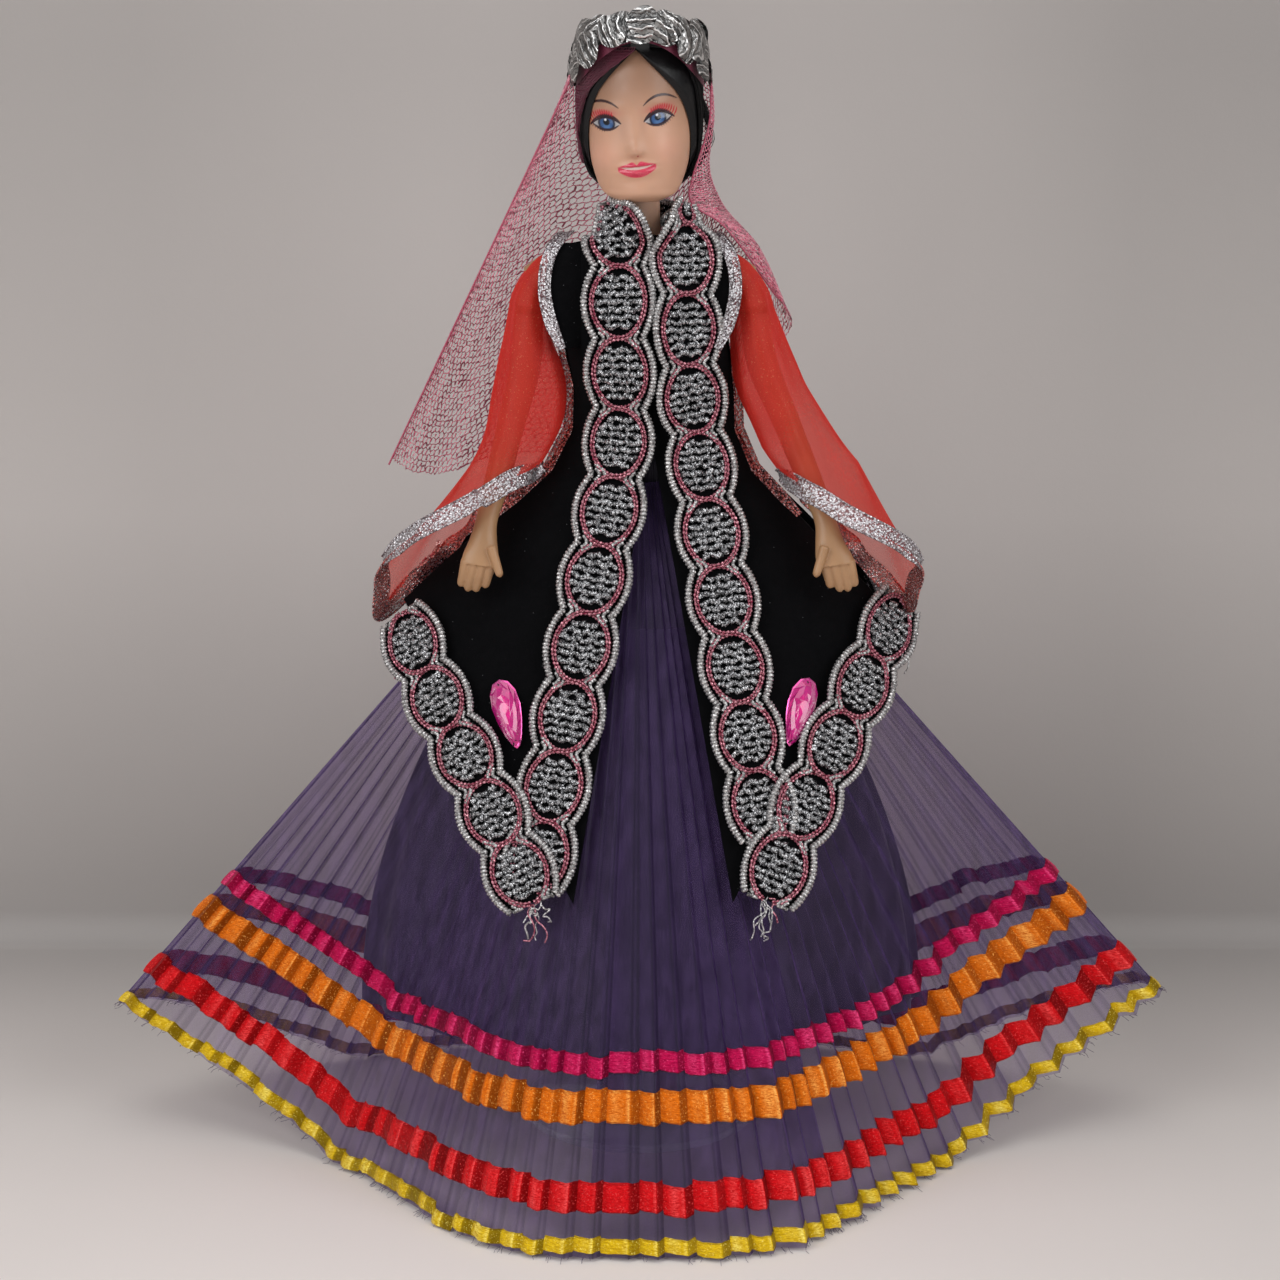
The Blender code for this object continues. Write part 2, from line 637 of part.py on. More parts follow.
def build_gem(name, x, z, tilt):
    """A flat-backed teardrop stone with a sewing hole at each end."""
    centre = vest_surface(x, z, 2.6)
    right = (vest_surface(x + 3, z, 2.6) - vest_surface(x - 3, z, 2.6)).normalized()
    up = (vest_surface(x, z + 6, 2.6) - vest_surface(x, z - 6, 2.6)).normalized()
    out = right.cross(up).normalized()
    turn = math.radians(tilt)
    right, up = right * math.cos(turn) + up * math.sin(turn), up * math.cos(turn) - right * math.sin(turn)

    def ring(scale, height):
        points = []
        for i in range(16):
            t = 2 * math.pi * i / 16
            narrow = math.sin(t) * (0.74 + 0.26 * math.cos(t)) * 4.6 * scale
            points.append(centre + right * narrow + up * (8.3 * scale * math.cos(t)) + out * height)
        return points

    gem = closed_loft(name, [ring(0.94, 0.0), ring(1.0, 0.7), ring(0.82, 2.0), ring(0.5, 2.8)], GEM)
    for end in (6.7, -7.0):
        cut(gem, name + "_hole_" + ("top" if end > 0 else "tip"),
            cylinder(0.5, 8, centre + up * end, out, 16))


# ---------------------------------------------------------------- sleeves and veil
def sleeve_rings(side, wide):
    """Rings down a bell sleeve: a cap over the shoulder, a tube, then a wide slanting mouth."""
    rings = shoulder_rings(side, ((SHOULDER_X + 0.6, 0, 7.0, 7.0), (SHOULDER_X + 2.4, 0, 7.3, 7.3)), 22)
    rings += arm_rings(SLEEVE, side, 22)
    grown = []
    for ring in rings:
        centre = sum(ring, Vector()) / len(ring)
        grown.append([p + (p - centre).normalized() * wide for p in ring])
    return grown


def pushed_out(band, distance):
    """Both rings of a band moved square to its surface, away from its middle."""
    top, bottom = band
    count = len(top)
    middle = sum(top + bottom, Vector()) / (2 * count)
    moved = [[], []]
    for i in range(count):
        for row, points in zip(moved, band):
            along = points[(i + 1) % count] - points[i - 1]
            normal = along.cross(bottom[i] - top[i]).normalized()
            if normal.dot(points[i] - middle) < 0:
                normal = -normal
            row.append(points[i] + normal * distance)
    return moved


def build_sleeve(label, side):
    pivot = (side * SHOULDER_X, 0, SHOULDER_Z)
    inner, outer = sleeve_rings(side, 0.0), sleeve_rings(side, 0.5)
    sheet_between("sleeve_" + label, inner, outer, CHIFFON, True, pivot)
    band = [[a.lerp(b, share) for a, b in zip(outer[-2], outer[-1])] for share in (0.72, 0.97)]
    sheet_between("cuff_" + label, pushed_out(band, 0.4), pushed_out(band, 1.2), TRIM, True, pivot)


def veil_row(share, proud):
    """A row of the veil, from the doll's right temple round the back to its left shoulder."""
    row = []
    for u in spread(0, 1, 16):
        turn = mix(math.radians(-100), math.radians(-262), u)
        top = head_point(277.0, turn, 5.2 + proud)
        fall = Vector((mix(-66.0, 26.0, u), 15.0 + 24.0 * math.sin(math.pi * u) + proud, mix(178.0, 196.0, u)))
        row.append(top.lerp(fall, share) + Vector((0, 7.0 * math.sin(math.pi * share), 0)))
    return row


def build_veil():
    shares = spread(0, 1, 8)
    inner = [veil_row(s, 0.0) for s in shares]
    outer = [veil_row(s, 0.5) for s in shares]
    sheet_between("veil", inner, outer, TULLE, wrap=False)


clear_scene()
parts = new_collection("folk_dress_doll")
cutters = new_collection("cutters")
build_stand()
build_torso()
build_neck()
build_head()
build_hair()
build_headband()
for label, side in (("left", 1), ("right", -1)):
    build_arm("arm_" + label, side)
    build_leg("leg_" + label, side)
    build_sleeve(label, side)
build_hip_pin()
build_skirt()
build_lining()
build_blouse()
build_vest()
build_braids()
build_trims()
build_gem("gem_right", -33.0, 123.0, 16.0)
build_gem("gem_left", 40.0, 123.0, -18.0)
build_veil()
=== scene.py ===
"""The look of a costumed folk-dress fashion doll, built round its CAD frame.

Shapes are worked out in millimetres and become metres where a mesh is made. The doll faces -Y,
so its own left is at +X. The skirt, lining, shoulders and headband take their sizes from the CAD
frame's boxes. The tables of sections below are in the frame's own millimetres.
"""

import math

import bpy
import numpy as np
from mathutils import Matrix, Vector


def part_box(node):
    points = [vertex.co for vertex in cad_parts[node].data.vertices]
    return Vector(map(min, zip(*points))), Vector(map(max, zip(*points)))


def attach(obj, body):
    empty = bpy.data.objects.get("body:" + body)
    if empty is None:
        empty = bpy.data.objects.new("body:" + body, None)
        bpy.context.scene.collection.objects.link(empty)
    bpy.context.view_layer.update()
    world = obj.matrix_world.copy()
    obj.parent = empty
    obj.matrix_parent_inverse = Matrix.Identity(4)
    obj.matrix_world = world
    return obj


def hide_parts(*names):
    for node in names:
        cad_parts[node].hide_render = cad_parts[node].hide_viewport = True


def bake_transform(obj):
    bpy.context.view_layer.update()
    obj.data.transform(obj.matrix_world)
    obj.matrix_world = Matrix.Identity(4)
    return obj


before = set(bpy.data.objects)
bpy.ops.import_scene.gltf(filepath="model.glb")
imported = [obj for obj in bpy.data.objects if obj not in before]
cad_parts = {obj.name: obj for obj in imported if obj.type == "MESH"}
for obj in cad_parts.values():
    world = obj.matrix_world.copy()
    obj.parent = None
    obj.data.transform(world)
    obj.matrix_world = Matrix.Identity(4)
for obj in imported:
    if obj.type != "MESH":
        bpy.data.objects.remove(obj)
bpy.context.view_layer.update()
random = np.random.default_rng(11)

MM = 0.001
TAU = 2 * math.pi


# ---------------------------------------------------------------- sizes read from the frame
def box_mm(node):
    low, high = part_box(node)
    return np.array(low) / MM, np.array(high) / MM


SKIRT_LOW, SKIRT_HIGH = box_mm("skirt")
LINING_LOW, LINING_HIGH = box_mm("lining")
TORSO_TOP = box_mm("torso_front")[1][2]
BAND_TOP = box_mm("headband")[1][2]

HEM_HALF_WIDTH = (SKIRT_HIGH[0] - SKIRT_LOW[0]) / 2 - 0.5
WAIST_Z = SKIRT_HIGH[2]
SHOULDER_Z = TORSO_TOP - 10.5
SHOULDER_X = 22.6
HEM_SIDE_Y = -12.0
HEM_FRONT = -SKIRT_LOW[1] + HEM_SIDE_Y
HEM_BACK = SKIRT_HIGH[1] - HEM_SIDE_Y
BULGE_HALF_WIDTH = 0.486 * HEM_HALF_WIDTH
HEM_LIFT_START = 0.586 * HEM_HALF_WIDTH
HEM_LIFT_RIGHT = 0.60
HEM_LIFT_LEFT = 0.68
PLEATS = 92
# Where a pleat's sharp fold lies, as a share of its width.
FOLD_AT = 0.72
# The two ends, in x, of the pleated strip's overlap behind the skirt's front.
OVERLAP_X = (-13.0, 50.0)

# Each ribbon's start and end, as a share of the way from waist to hem.
RIBBONS = {
    "ribbon_magenta": (0.745, 0.772),
    "ribbon_orange": (0.793, 0.835),
    "ribbon_red": (0.905, 0.943),
    "ribbon_gold": (0.978, 0.997),
}
# Heights on the vest: its shoulder seam, the foot of its armhole, its lower side corner, and the
# middle of its back hem.
VEST_SHOULDER_Z = 235.5
ARMHOLE_Z = 213.0
VEST_SIDE_Z = 147.0
VEST_BACK_Z = 112.0
# Sections of the vest: height, half-width, front depth, back depth, middle's place in x.
VEST = np.array((
    (76.0, 88.0, 60.5, 46.0, 0.0),
    (110.0, 78.0, 45.0, 39.0, 0.0),
    (147.0, 68.0, 28.5, 29.0, 0.5),
    (163.0, 47.0, 22.0, 22.0, 1.5),
    (180.0, 26.5, 16.5, 17.5, 3.0),
    (190.0, 21.0, 13.8, 12.5, 3.5),
    (200.0, 20.3, 13.6, 10.8, 3.5),
    (214.0, 20.5, 15.2, 10.8, 1.2),
    (228.0, 22.0, 12.0, 10.6, 0.0),
    (235.0, 22.0, 10.0, 9.2, 0.0),
    (238.0, 17.0, 9.0, 8.6, 0.0),
    (240.0, 10.8, 8.2, 8.2, 0.0),
))
# Sections of the torso, in the same columns.
TORSO = np.array((
    (158.0, 13.6, 8.2, 8.9, 0.0),
    (178.0, 11.3, 8.0, 7.8, 0.0),
    (188.0, 10.0, 7.5, 7.0, 0.0),
    (198.0, 11.5, 8.6, 7.5, 0.0),
    (208.0, 13.8, 11.4, 8.0, 0.0),
    (214.0, 15.3, 12.3, 8.0, 0.0),
    (222.0, 17.5, 10.0, 8.0, 0.0),
    (230.0, 18.6, 8.0, 7.0, 0.0),
    (235.0, 15.5, 7.0, 6.2, 0.0),
    (238.5, 6.2, 5.8, 5.8, 0.0),
))
# Sections of the head: height, half-width, front depth, back depth.
HEAD = np.array((
    (248.0, 4.6, 12.2, -7.0),
    (249.6, 8.2, 13.6, -5.0),
    (251.4, 9.9, 14.0, 0.0),
    (254.0, 11.1, 14.3, 5.5),
    (258.0, 12.3, 14.4, 9.5),
    (264.0, 13.1, 14.2, 12.8),
    (270.0, 13.3, 14.0, 14.4),
    (276.0, 13.2, 13.6, 15.0),
    (282.0, 12.0, 12.0, 14.0),
    (286.0, 9.5, 9.0, 11.5),
    (288.2, 5.5, 5.0, 7.0),
))
CROWN_Z = HEAD[-1, 0]
# Stations down the arm and the sleeve: x of the right and of the left, y, z, outward lean,
# then half-widths across and along.
ARM = np.array((
    (27.6, 27.6, -0.4, 225.4, 0.80, 4.2, 4.9),
    (28.3, 29.2, -1.0, 219.0, 0.25, 3.8, 4.4),
    (28.8, 30.6, -3.5, 209.0, 0.30, 4.0, 4.3),
    (33.0, 37.8, -8.5, 191.0, 0.25, 3.5, 3.8),
    (36.8, 44.0, -16.0, 176.0, 0.15, 3.2, 3.5),
    (38.9, 47.0, -23.0, 168.0, 0.10, 2.9, 2.4),
    (39.4, 47.6, -25.0, 164.5, 0.12, 3.6, 2.3),
    (39.9, 48.6, -27.0, 161.0, 0.15, 4.6, 2.0),
    (40.2, 49.2, -28.0, 159.0, 0.15, 4.8, 1.8),
))
# The sleeve's inner and outer edges down each arm: height, then x of the inner and outer edge.
SLEEVE_EDGES = {
    -1: np.array(((221.3, 23.2, 33.2), (214.0, 22.2, 34.6), (208.0, 20.4, 36.0), (200.0, 18.9, 37.6),
                  (191.0, 20.2, 39.8), (185.0, 23.2, 43.2))),
    1: np.array(((221.3, 23.2, 33.8), (214.0, 23.1, 36.8), (208.0, 23.4, 39.4), (200.0, 24.8, 43.2),
                 (192.0, 28.4, 49.6), (186.0, 31.0, 55.4))),
}
# The slanting mouth of each sleeve, from its inner end along the front rim, round the tip and back.
SLEEVE_MOUTH = {
    -1: np.array(((25.8, -14.0, 181.0), (37.0, -25.0, 177.5), (49.5, -29.0, 170.5), (61.5, -26.0, 163.0),
                  (67.0, -18.0, 153.0), (67.5, -12.0, 142.0), (58.0, -8.0, 150.5), (47.0, -6.0, 160.5),
                  (35.0, -6.5, 172.0))),
    1: np.array(((36.5, -14.0, 179.0), (45.5, -26.0, 175.0), (57.0, -30.0, 168.5), (69.0, -26.0, 161.0),
                 (71.5, -19.0, 153.0), (69.5, -13.0, 144.5), (61.5, -9.0, 151.5), (53.0, -7.0, 161.5),
                 (43.5, -7.0, 172.0))),
}


# ---------------------------------------------------------------- numbers
def mix(a, b, share):
    return a + (b - a) * share


def smooth(low, high, value):
    share = np.clip((value - low) / (high - low), 0, 1)
    return share * share * (3 - 2 * share)


def unit(vectors):
    length = np.linalg.norm(vectors, axis=-1, keepdims=True)
    return vectors / np.maximum(length, 1e-9)


def curve_through(keys, values, at):
    """A smooth curve through rows of values, read at any positions."""
    keys = np.asarray(keys, float)
    values = np.asarray(values, float)
    if values.ndim == 1:
        values = values[:, None]
    slope = np.gradient(values, keys, axis=0)
    at = np.clip(np.asarray(at, float), keys[0], keys[-1])
    i = np.clip(np.searchsorted(keys, at, side="right") - 1, 0, len(keys) - 2)
    step = (keys[i + 1] - keys[i])[..., None]
    t = (at[..., None] - keys[i][..., None]) / step
    h0 = 2 * t**3 - 3 * t**2 + 1
    h1 = t**3 - 2 * t**2 + t
    h2 = -2 * t**3 + 3 * t**2
    h3 = t**3 - t**2
    return h0 * values[i] + h1 * step * slope[i] + h2 * values[i + 1] + h3 * step * slope[i + 1]


def resample(path, spacing):
    """The same line with points an even distance apart."""
    path = np.asarray(path, float)
    gaps = np.linalg.norm(np.diff(path, axis=0), axis=1)
    along = np.concatenate([[0], np.cumsum(gaps)])
    count = max(2, int(round(along[-1] / spacing)) + 1)
    at = np.linspace(0, along[-1], count)
    return np.stack([np.interp(at, along, path[:, k]) for k in range(3)], axis=1), at


def rounded(points, spacing=0.5):
    """A smooth line through a few points."""
    points = np.asarray(points, float)
    gaps = np.linalg.norm(np.diff(points, axis=0), axis=1)
    along = np.concatenate([[0], np.cumsum(gaps)])
    line = curve_through(along, points, np.linspace(0, along[-1], 240))
    return resample(line, spacing)[0]


def wobble(position, seed, scale=1.0):
    """A smooth pseudo-random wave between -1 and 1."""
    phase = np.array((0.3, 1.7, 4.1)) * (seed + 1)
    p = np.asarray(position, float) / scale
    return (np.sin(p + phase[0]) + np.sin(2.3 * p + phase[1]) + np.sin(4.1 * p + phase[2])) / 3


# ---------------------------------------------------------------- meshes
class Shape:
    """Points and faces of one piece, gathered before its mesh is made."""

    def __init__(self):
        self.points = []
        self.faces = []
        self.slots = []
        self.marks = []
        self.count = 0

    def add(self, points, faces, slot=0, mark=0.0):
        points = np.asarray(points, float).reshape(-1, 3)
        faces = np.asarray(faces, int)
        self.points.append(points)
        self.faces.append(faces + self.count)
        self.slots.append(np.full(len(faces), slot))
        self.marks.append(np.broadcast_to(np.asarray(mark, float).ravel(), (len(points),)))
        self.count += len(points)

    def grid(self, rows, wrap=False, slot=0, mark=0.0):
        """A sheet from an array of rows of points."""
        rows = np.asarray(rows, float)
        n, m = rows.shape[:2]
        index = np.arange(n * m).reshape(n, m)
        right = np.roll(index, -1, axis=1)
        if not wrap:
            index, right = index[:, :-1], right[:, :-1]
        faces = np.stack([index[:-1], right[:-1], right[1:], index[1:]], axis=-1).reshape(-1, 4)
        self.add(rows, faces, slot, mark)

    def tube(self, path, radius, sides=6, slot=0, mark=0.0, flat=None, up=None):
        """A round cord along a line. `flat` squashes it along `up`."""
        path = np.asarray(path, float)
        tangent = unit(np.gradient(path, axis=0))
        guide = np.array((0.13, 0.21, 0.97)) if up is None else np.asarray(up, float)
        guide = np.broadcast_to(guide, path.shape)
        across = unit(np.cross(tangent, guide))
        rise = np.cross(across, tangent)
        turn = np.arange(sides) / sides * TAU
        radius = np.broadcast_to(np.asarray(radius, float), (len(path),))[:, None, None]
        squash = 1.0 if flat is None else flat
        ring = (across[:, None] * np.cos(turn)[None, :, None]
                + rise[:, None] * (np.sin(turn) * squash)[None, :, None])
        rows = path[:, None] + ring * radius
        mark = np.broadcast_to(np.asarray(mark, float), (len(path),))
        self.grid(rows, True, slot, np.repeat(mark, sides))
        if sides >= 6:
            for end in (rows[:1], rows[-1:]):
                self.grid(np.concatenate([end, np.broadcast_to(end.mean(axis=1, keepdims=True), end.shape)]),
                          True, slot, 0.0)

    def piece(self, name, materials, body=None, replaces=(), flat=False):
        points = np.concatenate(self.points)
        faces = np.concatenate(self.faces)
        slots = np.concatenate(self.slots)
        mesh = bpy.data.meshes.new(name)
        mesh.vertices.add(len(points))
        mesh.vertices.foreach_set("co", (points * MM).ravel())
        mesh.loops.add(faces.size)
        mesh.loops.foreach_set("vertex_index", faces.ravel())
        mesh.polygons.add(len(faces))
        mesh.polygons.foreach_set("loop_start", np.arange(len(faces)) * 4)
        mesh.polygons.foreach_set("material_index", slots.astype(int))
        mesh.polygons.foreach_set("use_smooth", np.full(len(faces), not flat))
        marks = mesh.attributes.new("mark", "FLOAT", "POINT")
        marks.data.foreach_set("value", np.concatenate(self.marks).astype(np.float32))
        mesh.update(calc_edges=True)
        mesh.validate()
        for one in materials:
            mesh.materials.append(one)
        made = bpy.data.objects.new(name, mesh)
        bpy.context.scene.collection.objects.link(made)
        if body:
            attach(made, body)
        if replaces:
            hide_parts(*replaces)
        return made


# ---------------------------------------------------------------- material nodes
class Look:
    """A node material under construction."""

    def __init__(self, name):
        self.material = bpy.data.materials.new(name)
        self.material.use_nodes = True
        self.tree = self.material.node_tree
        self.tree.nodes.clear()
        self.output = self.tree.nodes.new("ShaderNodeOutputMaterial")
        self.place = self.tree.nodes.new("ShaderNodeTexCoord").outputs["Object"]

    def node(self, kind, inputs=(), **settings):
        made = self.tree.nodes.new(kind)
        for key, value in settings.items():
            setattr(made, key, value)
        for key, value in dict(inputs).items():
            socket = made.inputs[key]
            if isinstance(value, bpy.types.NodeSocket):
                self.tree.links.new(value, socket)
            elif isinstance(value, tuple) and len(value) == 3 and socket.type == "RGBA":
                socket.default_value = (*value, 1.0)
            else:
                socket.default_value = value
        return made

    def math(self, operation, a, b=0.0, clamp=False):
        return self.node("ShaderNodeMath", {0: a, 1: b}, operation=operation, use_clamp=clamp).outputs[0]

    def noise(self, size_mm, detail=3.0, rough=0.55, place=None):
        return self.node("ShaderNodeTexNoise", {"Vector": place or self.place, "Scale": 1000 / size_mm,
                                                "Detail": detail, "Roughness": rough}).outputs["Fac"]

    def cells(self, size_mm):
        inputs = {"Vector": self.place, "Scale": 1000 / size_mm}
        return self.node("ShaderNodeTexVoronoi", inputs).outputs["Distance"]

    def creases(self, place, size_mm, bend):
        inputs = {"Vector": place, "Scale": 1000 / size_mm / TAU * 2, "Distortion": bend, "Detail": 2.0,
                  "Detail Scale": 1.5}
        return self.node("ShaderNodeTexWave", inputs).outputs["Fac"]

    def mark(self, name="mark"):
        return self.node("ShaderNodeAttribute", attribute_name=name).outputs["Fac"]

    def spread(self, value, low, high, to_low=0.0, to_high=1.0):
        return self.node("ShaderNodeMapRange", {"Value": value, "From Min": low, "From Max": high,
                                                "To Min": to_low, "To Max": to_high}).outputs["Result"]

    def blend(self, share, a, b, kind="MIX"):
        made = self.node("ShaderNodeMix", data_type="RGBA", blend_type=kind)
        for socket, value in ((made.inputs[0], share), (made.inputs[6], a), (made.inputs[7], b)):
            if isinstance(value, bpy.types.NodeSocket):
                self.tree.links.new(value, socket)
            elif isinstance(value, tuple):
                socket.default_value = (*value, 1.0)
            else:
                socket.default_value = value
        return made.outputs[2]

    def bump(self, height, depth_mm, strength=1.0, normal=None):
        inputs = {"Height": height, "Distance": depth_mm * MM, "Strength": strength}
        if normal:
            inputs["Normal"] = normal
        return self.node("ShaderNodeBump", inputs).outputs["Normal"]

    def principled(self, colour, roughness, normal=None, **more):
        inputs = {"Base Color": colour, "Roughness": roughness}
        if normal:
            inputs["Normal"] = normal
        for key, value in more.items():
            inputs[key.replace("_", " ")] = value
        return self.node("ShaderNodeBsdfPrincipled", inputs).outputs["BSDF"]

    def finish(self, surface):
        self.tree.links.new(surface, self.output.inputs["Surface"])
        return self.material


def see_through(look, surface, opacity, tint):
    """Fabric that lets light past its threads, and less of it at a glancing angle."""
    facing = look.node("ShaderNodeLayerWeight", {"Blend": 0.5}).outputs["Facing"]
    toward = look.math("MAXIMUM", look.math("SUBTRACT", 1.0, facing), 0.12)
    gaps = look.math("SUBTRACT", 1.0, opacity)
    closed = look.math("SUBTRACT", 1.0, look.math("POWER", gaps, look.math("DIVIDE", 1.0, toward)), True)
    clear = look.node("ShaderNodeBsdfTransparent", {"Color": tint}).outputs["BSDF"]
    return look.node("ShaderNodeMixShader", {0: closed, 1: clear, 2: surface}).outputs[0]


def skin_material():
    look = Look("doll_plastic")
    patch = look.noise(9.0, 2.0)
    grain = look.noise(0.35, 2.0)
    colour = look.blend(look.spread(patch, 0.35, 0.65), (0.34, 0.185, 0.088), (0.39, 0.215, 0.105))
    rough = look.spread(look.noise(3.0), 0.3, 0.7, 0.38, 0.50)
    return look.finish(look.principled(colour, rough, look.bump(grain, 0.012), Subsurface_Weight=0.12,
                                       Subsurface_Radius=(0.004, 0.002, 0.001), Coat_Weight=0.06))


def face_material():
    """Vinyl skin with paint: the paint's colour is stored point by point, its gloss in the alpha."""
    look = Look("face_paint")
    paint = look.node("ShaderNodeAttribute", attribute_name="paint")
    tone = look.spread(look.noise(7.0, 2.0), 0.3, 0.7, 0.96, 1.04)
    colour = look.blend(1.0, paint.outputs["Color"], look.node("ShaderNodeCombineColor", {
        0: tone, 1: tone, 2: tone}).outputs[0], "MULTIPLY")
    rough = look.math("SUBTRACT", look.spread(look.noise(2.0), 0.3, 0.7, 0.38, 0.46),
                      look.math("MULTIPLY", paint.outputs["Alpha"], 0.22))
    return look.finish(look.principled(colour, rough, look.bump(look.noise(0.3), 0.008),
                                       Subsurface_Weight=0.12, Subsurface_Radius=(0.004, 0.002, 0.001),
                                       Coat_Weight=look.math("MULTIPLY", paint.outputs["Alpha"], 0.6)))


def hair_material():
    look = Look("hair_nylon")
    strand = look.noise(0.4, 2.0)
    colour = look.blend(strand, (0.002, 0.002, 0.002), (0.009, 0.008, 0.009))
    rough = look.spread(look.noise(1.2), 0.3, 0.7, 0.30, 0.46)
    return look.finish(look.principled(colour, rough, look.bump(strand, 0.04), Anisotropic=0.5,
                                       Specular_IOR_Level=0.26))


def velvet_material():
    look = Look("velvet")
    nap = look.noise(2.2, 4.0)
    pile = look.noise(0.16, 2.0)
    lint = look.spread(look.cells(2.4), 0.045, 0.03)
    base = look.blend(nap, (0.0010, 0.0010, 0.0013), (0.0030, 0.0030, 0.0036))
    colour = look.blend(look.math("MULTIPLY", lint, 0.35), base, (0.35, 0.35, 0.37))
    return look.finish(look.principled(colour, 0.95, look.bump(pile, 0.10), Sheen_Weight=0.03,
                                       Sheen_Roughness=0.45, Sheen_Tint=(0.35, 0.35, 0.40),
                                       Specular_IOR_Level=0.08))


def metal_thread(name, dark, light, twist_mm, roughness=0.30):
    """Metallised yarn: bright and dark wraps along it, tiny painted glints of light, and painted shade where
    its mark is high.
    """
    look = Look(name)
    wraps = look.cells(twist_mm)
    colour = look.blend(look.spread(wraps, 0.15, 0.75), light, dark)
    painted_sparkle = look.noise(twist_mm * 0.8, 3.0, 0.8)
    # Tiny light specks blended into the colour: painted glints.
    colour = look.blend(look.spread(painted_sparkle, 0.56, 0.66), colour, light)
    # The mark darkens grooves and the narrow places between stitches and wraps: painted shade.
    colour = look.blend(look.math("MULTIPLY", look.mark(), 0.7), colour, tuple(c * 0.4 for c in dark))
    rough = look.spread(painted_sparkle, 0.3, 0.7, roughness + 0.14, roughness - 0.08)
    return look.finish(look.principled(colour, rough, look.bump(wraps, 0.16), Metallic=0.72))


def lace_material(name, dark, light):
    """Metal lace ribbon: rows of knitted foil threads, with painted shade in the dark gaps between them and
    painted glints of light on them.
    """
    look = Look(name)
    knit = look.cells(0.62)
    painted_glints = look.noise(0.4, 2.0, 0.8)
    # Darker away from each knot of thread, into the gaps: painted shade.
    colour = look.blend(look.spread(knit, 0.32, 0.62), light, dark)
    # Bright specks on the threads: painted glints.
    colour = look.blend(look.spread(painted_glints, 0.55, 0.64), colour, (0.90, 0.89, 0.91))
    rough = look.spread(painted_glints, 0.3, 0.7, 0.45, 0.2)
    body = look.principled(colour, rough, look.bump(knit, 0.22), Metallic=0.75)
    return look.finish(see_through(look, body, look.spread(knit, 0.45, 0.66, 0.97, 0.55), (1.0, 0.93, 0.93)))


def organza_material():
    """Sheer pleated nylon: fine warp and weft, with painted shade along the creases and across the front's
    middle, painted light and shade in long upright streaks, and painted glints of light.
    """
    look = Look("organza")
    crease_and_shade = look.mark()
    slub = look.noise(1.5, 4.0, 0.7)
    weave = look.noise(0.22, 2.0)
    painted_glint = look.spread(look.noise(0.45, 2.0, 0.9), 0.66, 0.74)
    hung = look.node("ShaderNodeMapping", {"Vector": look.place, "Scale": (1.0, 1.0, 0.05)}).outputs[0]
    # Long upright streaks, lighter and darker: painted light and shade of soft folds.
    painted_sheen_streak = look.noise(2.6, 3.0, 0.6, hung)
    colour = look.blend(look.spread(painted_sheen_streak, 0.36, 0.64), (0.062, 0.030, 0.128), (0.185, 0.105, 0.330))
    colour = look.blend(look.math("MULTIPLY", slub, 0.35), colour, (0.100, 0.048, 0.160))
    # The mark darkens the creases and the front's middle: painted shade. It also makes the cloth denser
    # there.
    colour = look.blend(look.math("MULTIPLY", crease_and_shade, 0.6), colour, (0.020, 0.010, 0.045))
    # Light specks: painted glints.
    colour = look.blend(look.math("MULTIPLY", painted_glint, 0.40), colour, (0.42, 0.33, 0.58))
    body = look.principled(colour, 0.46, look.bump(weave, 0.05), Sheen_Weight=0.12, Sheen_Roughness=0.35,
                           Sheen_Tint=(0.55, 0.45, 0.80), Specular_IOR_Level=0.35)
    glow = look.node("ShaderNodeBsdfTranslucent", {"Color": colour}).outputs["BSDF"]
    body = look.node("ShaderNodeMixShader", {0: 0.35, 1: body, 2: glow}).outputs[0]
    opacity = look.math("ADD", look.spread(weave, 0.3, 0.7, 0.17, 0.29), look.math("MULTIPLY", crease_and_shade, 0.24))
    return look.finish(see_through(look, body, opacity, (0.93, 0.88, 0.96)))


def cloth_material(name, dark, light):
    """Plain close-woven cloth, with painted light and shade of soft folds in its colour."""
    look = Look(name)
    weave = look.noise(0.3, 2.0)
    fold = look.noise(9.0, 3.0)
    # Broad lighter and darker patches: painted light and shade of soft folds.
    colour = look.blend(fold, dark, light)
    rough = look.spread(fold, 0.3, 0.7, 0.5, 0.68)
    return look.finish(look.principled(colour, rough, look.bump(weave, 0.08), Sheen_Weight=0.2))


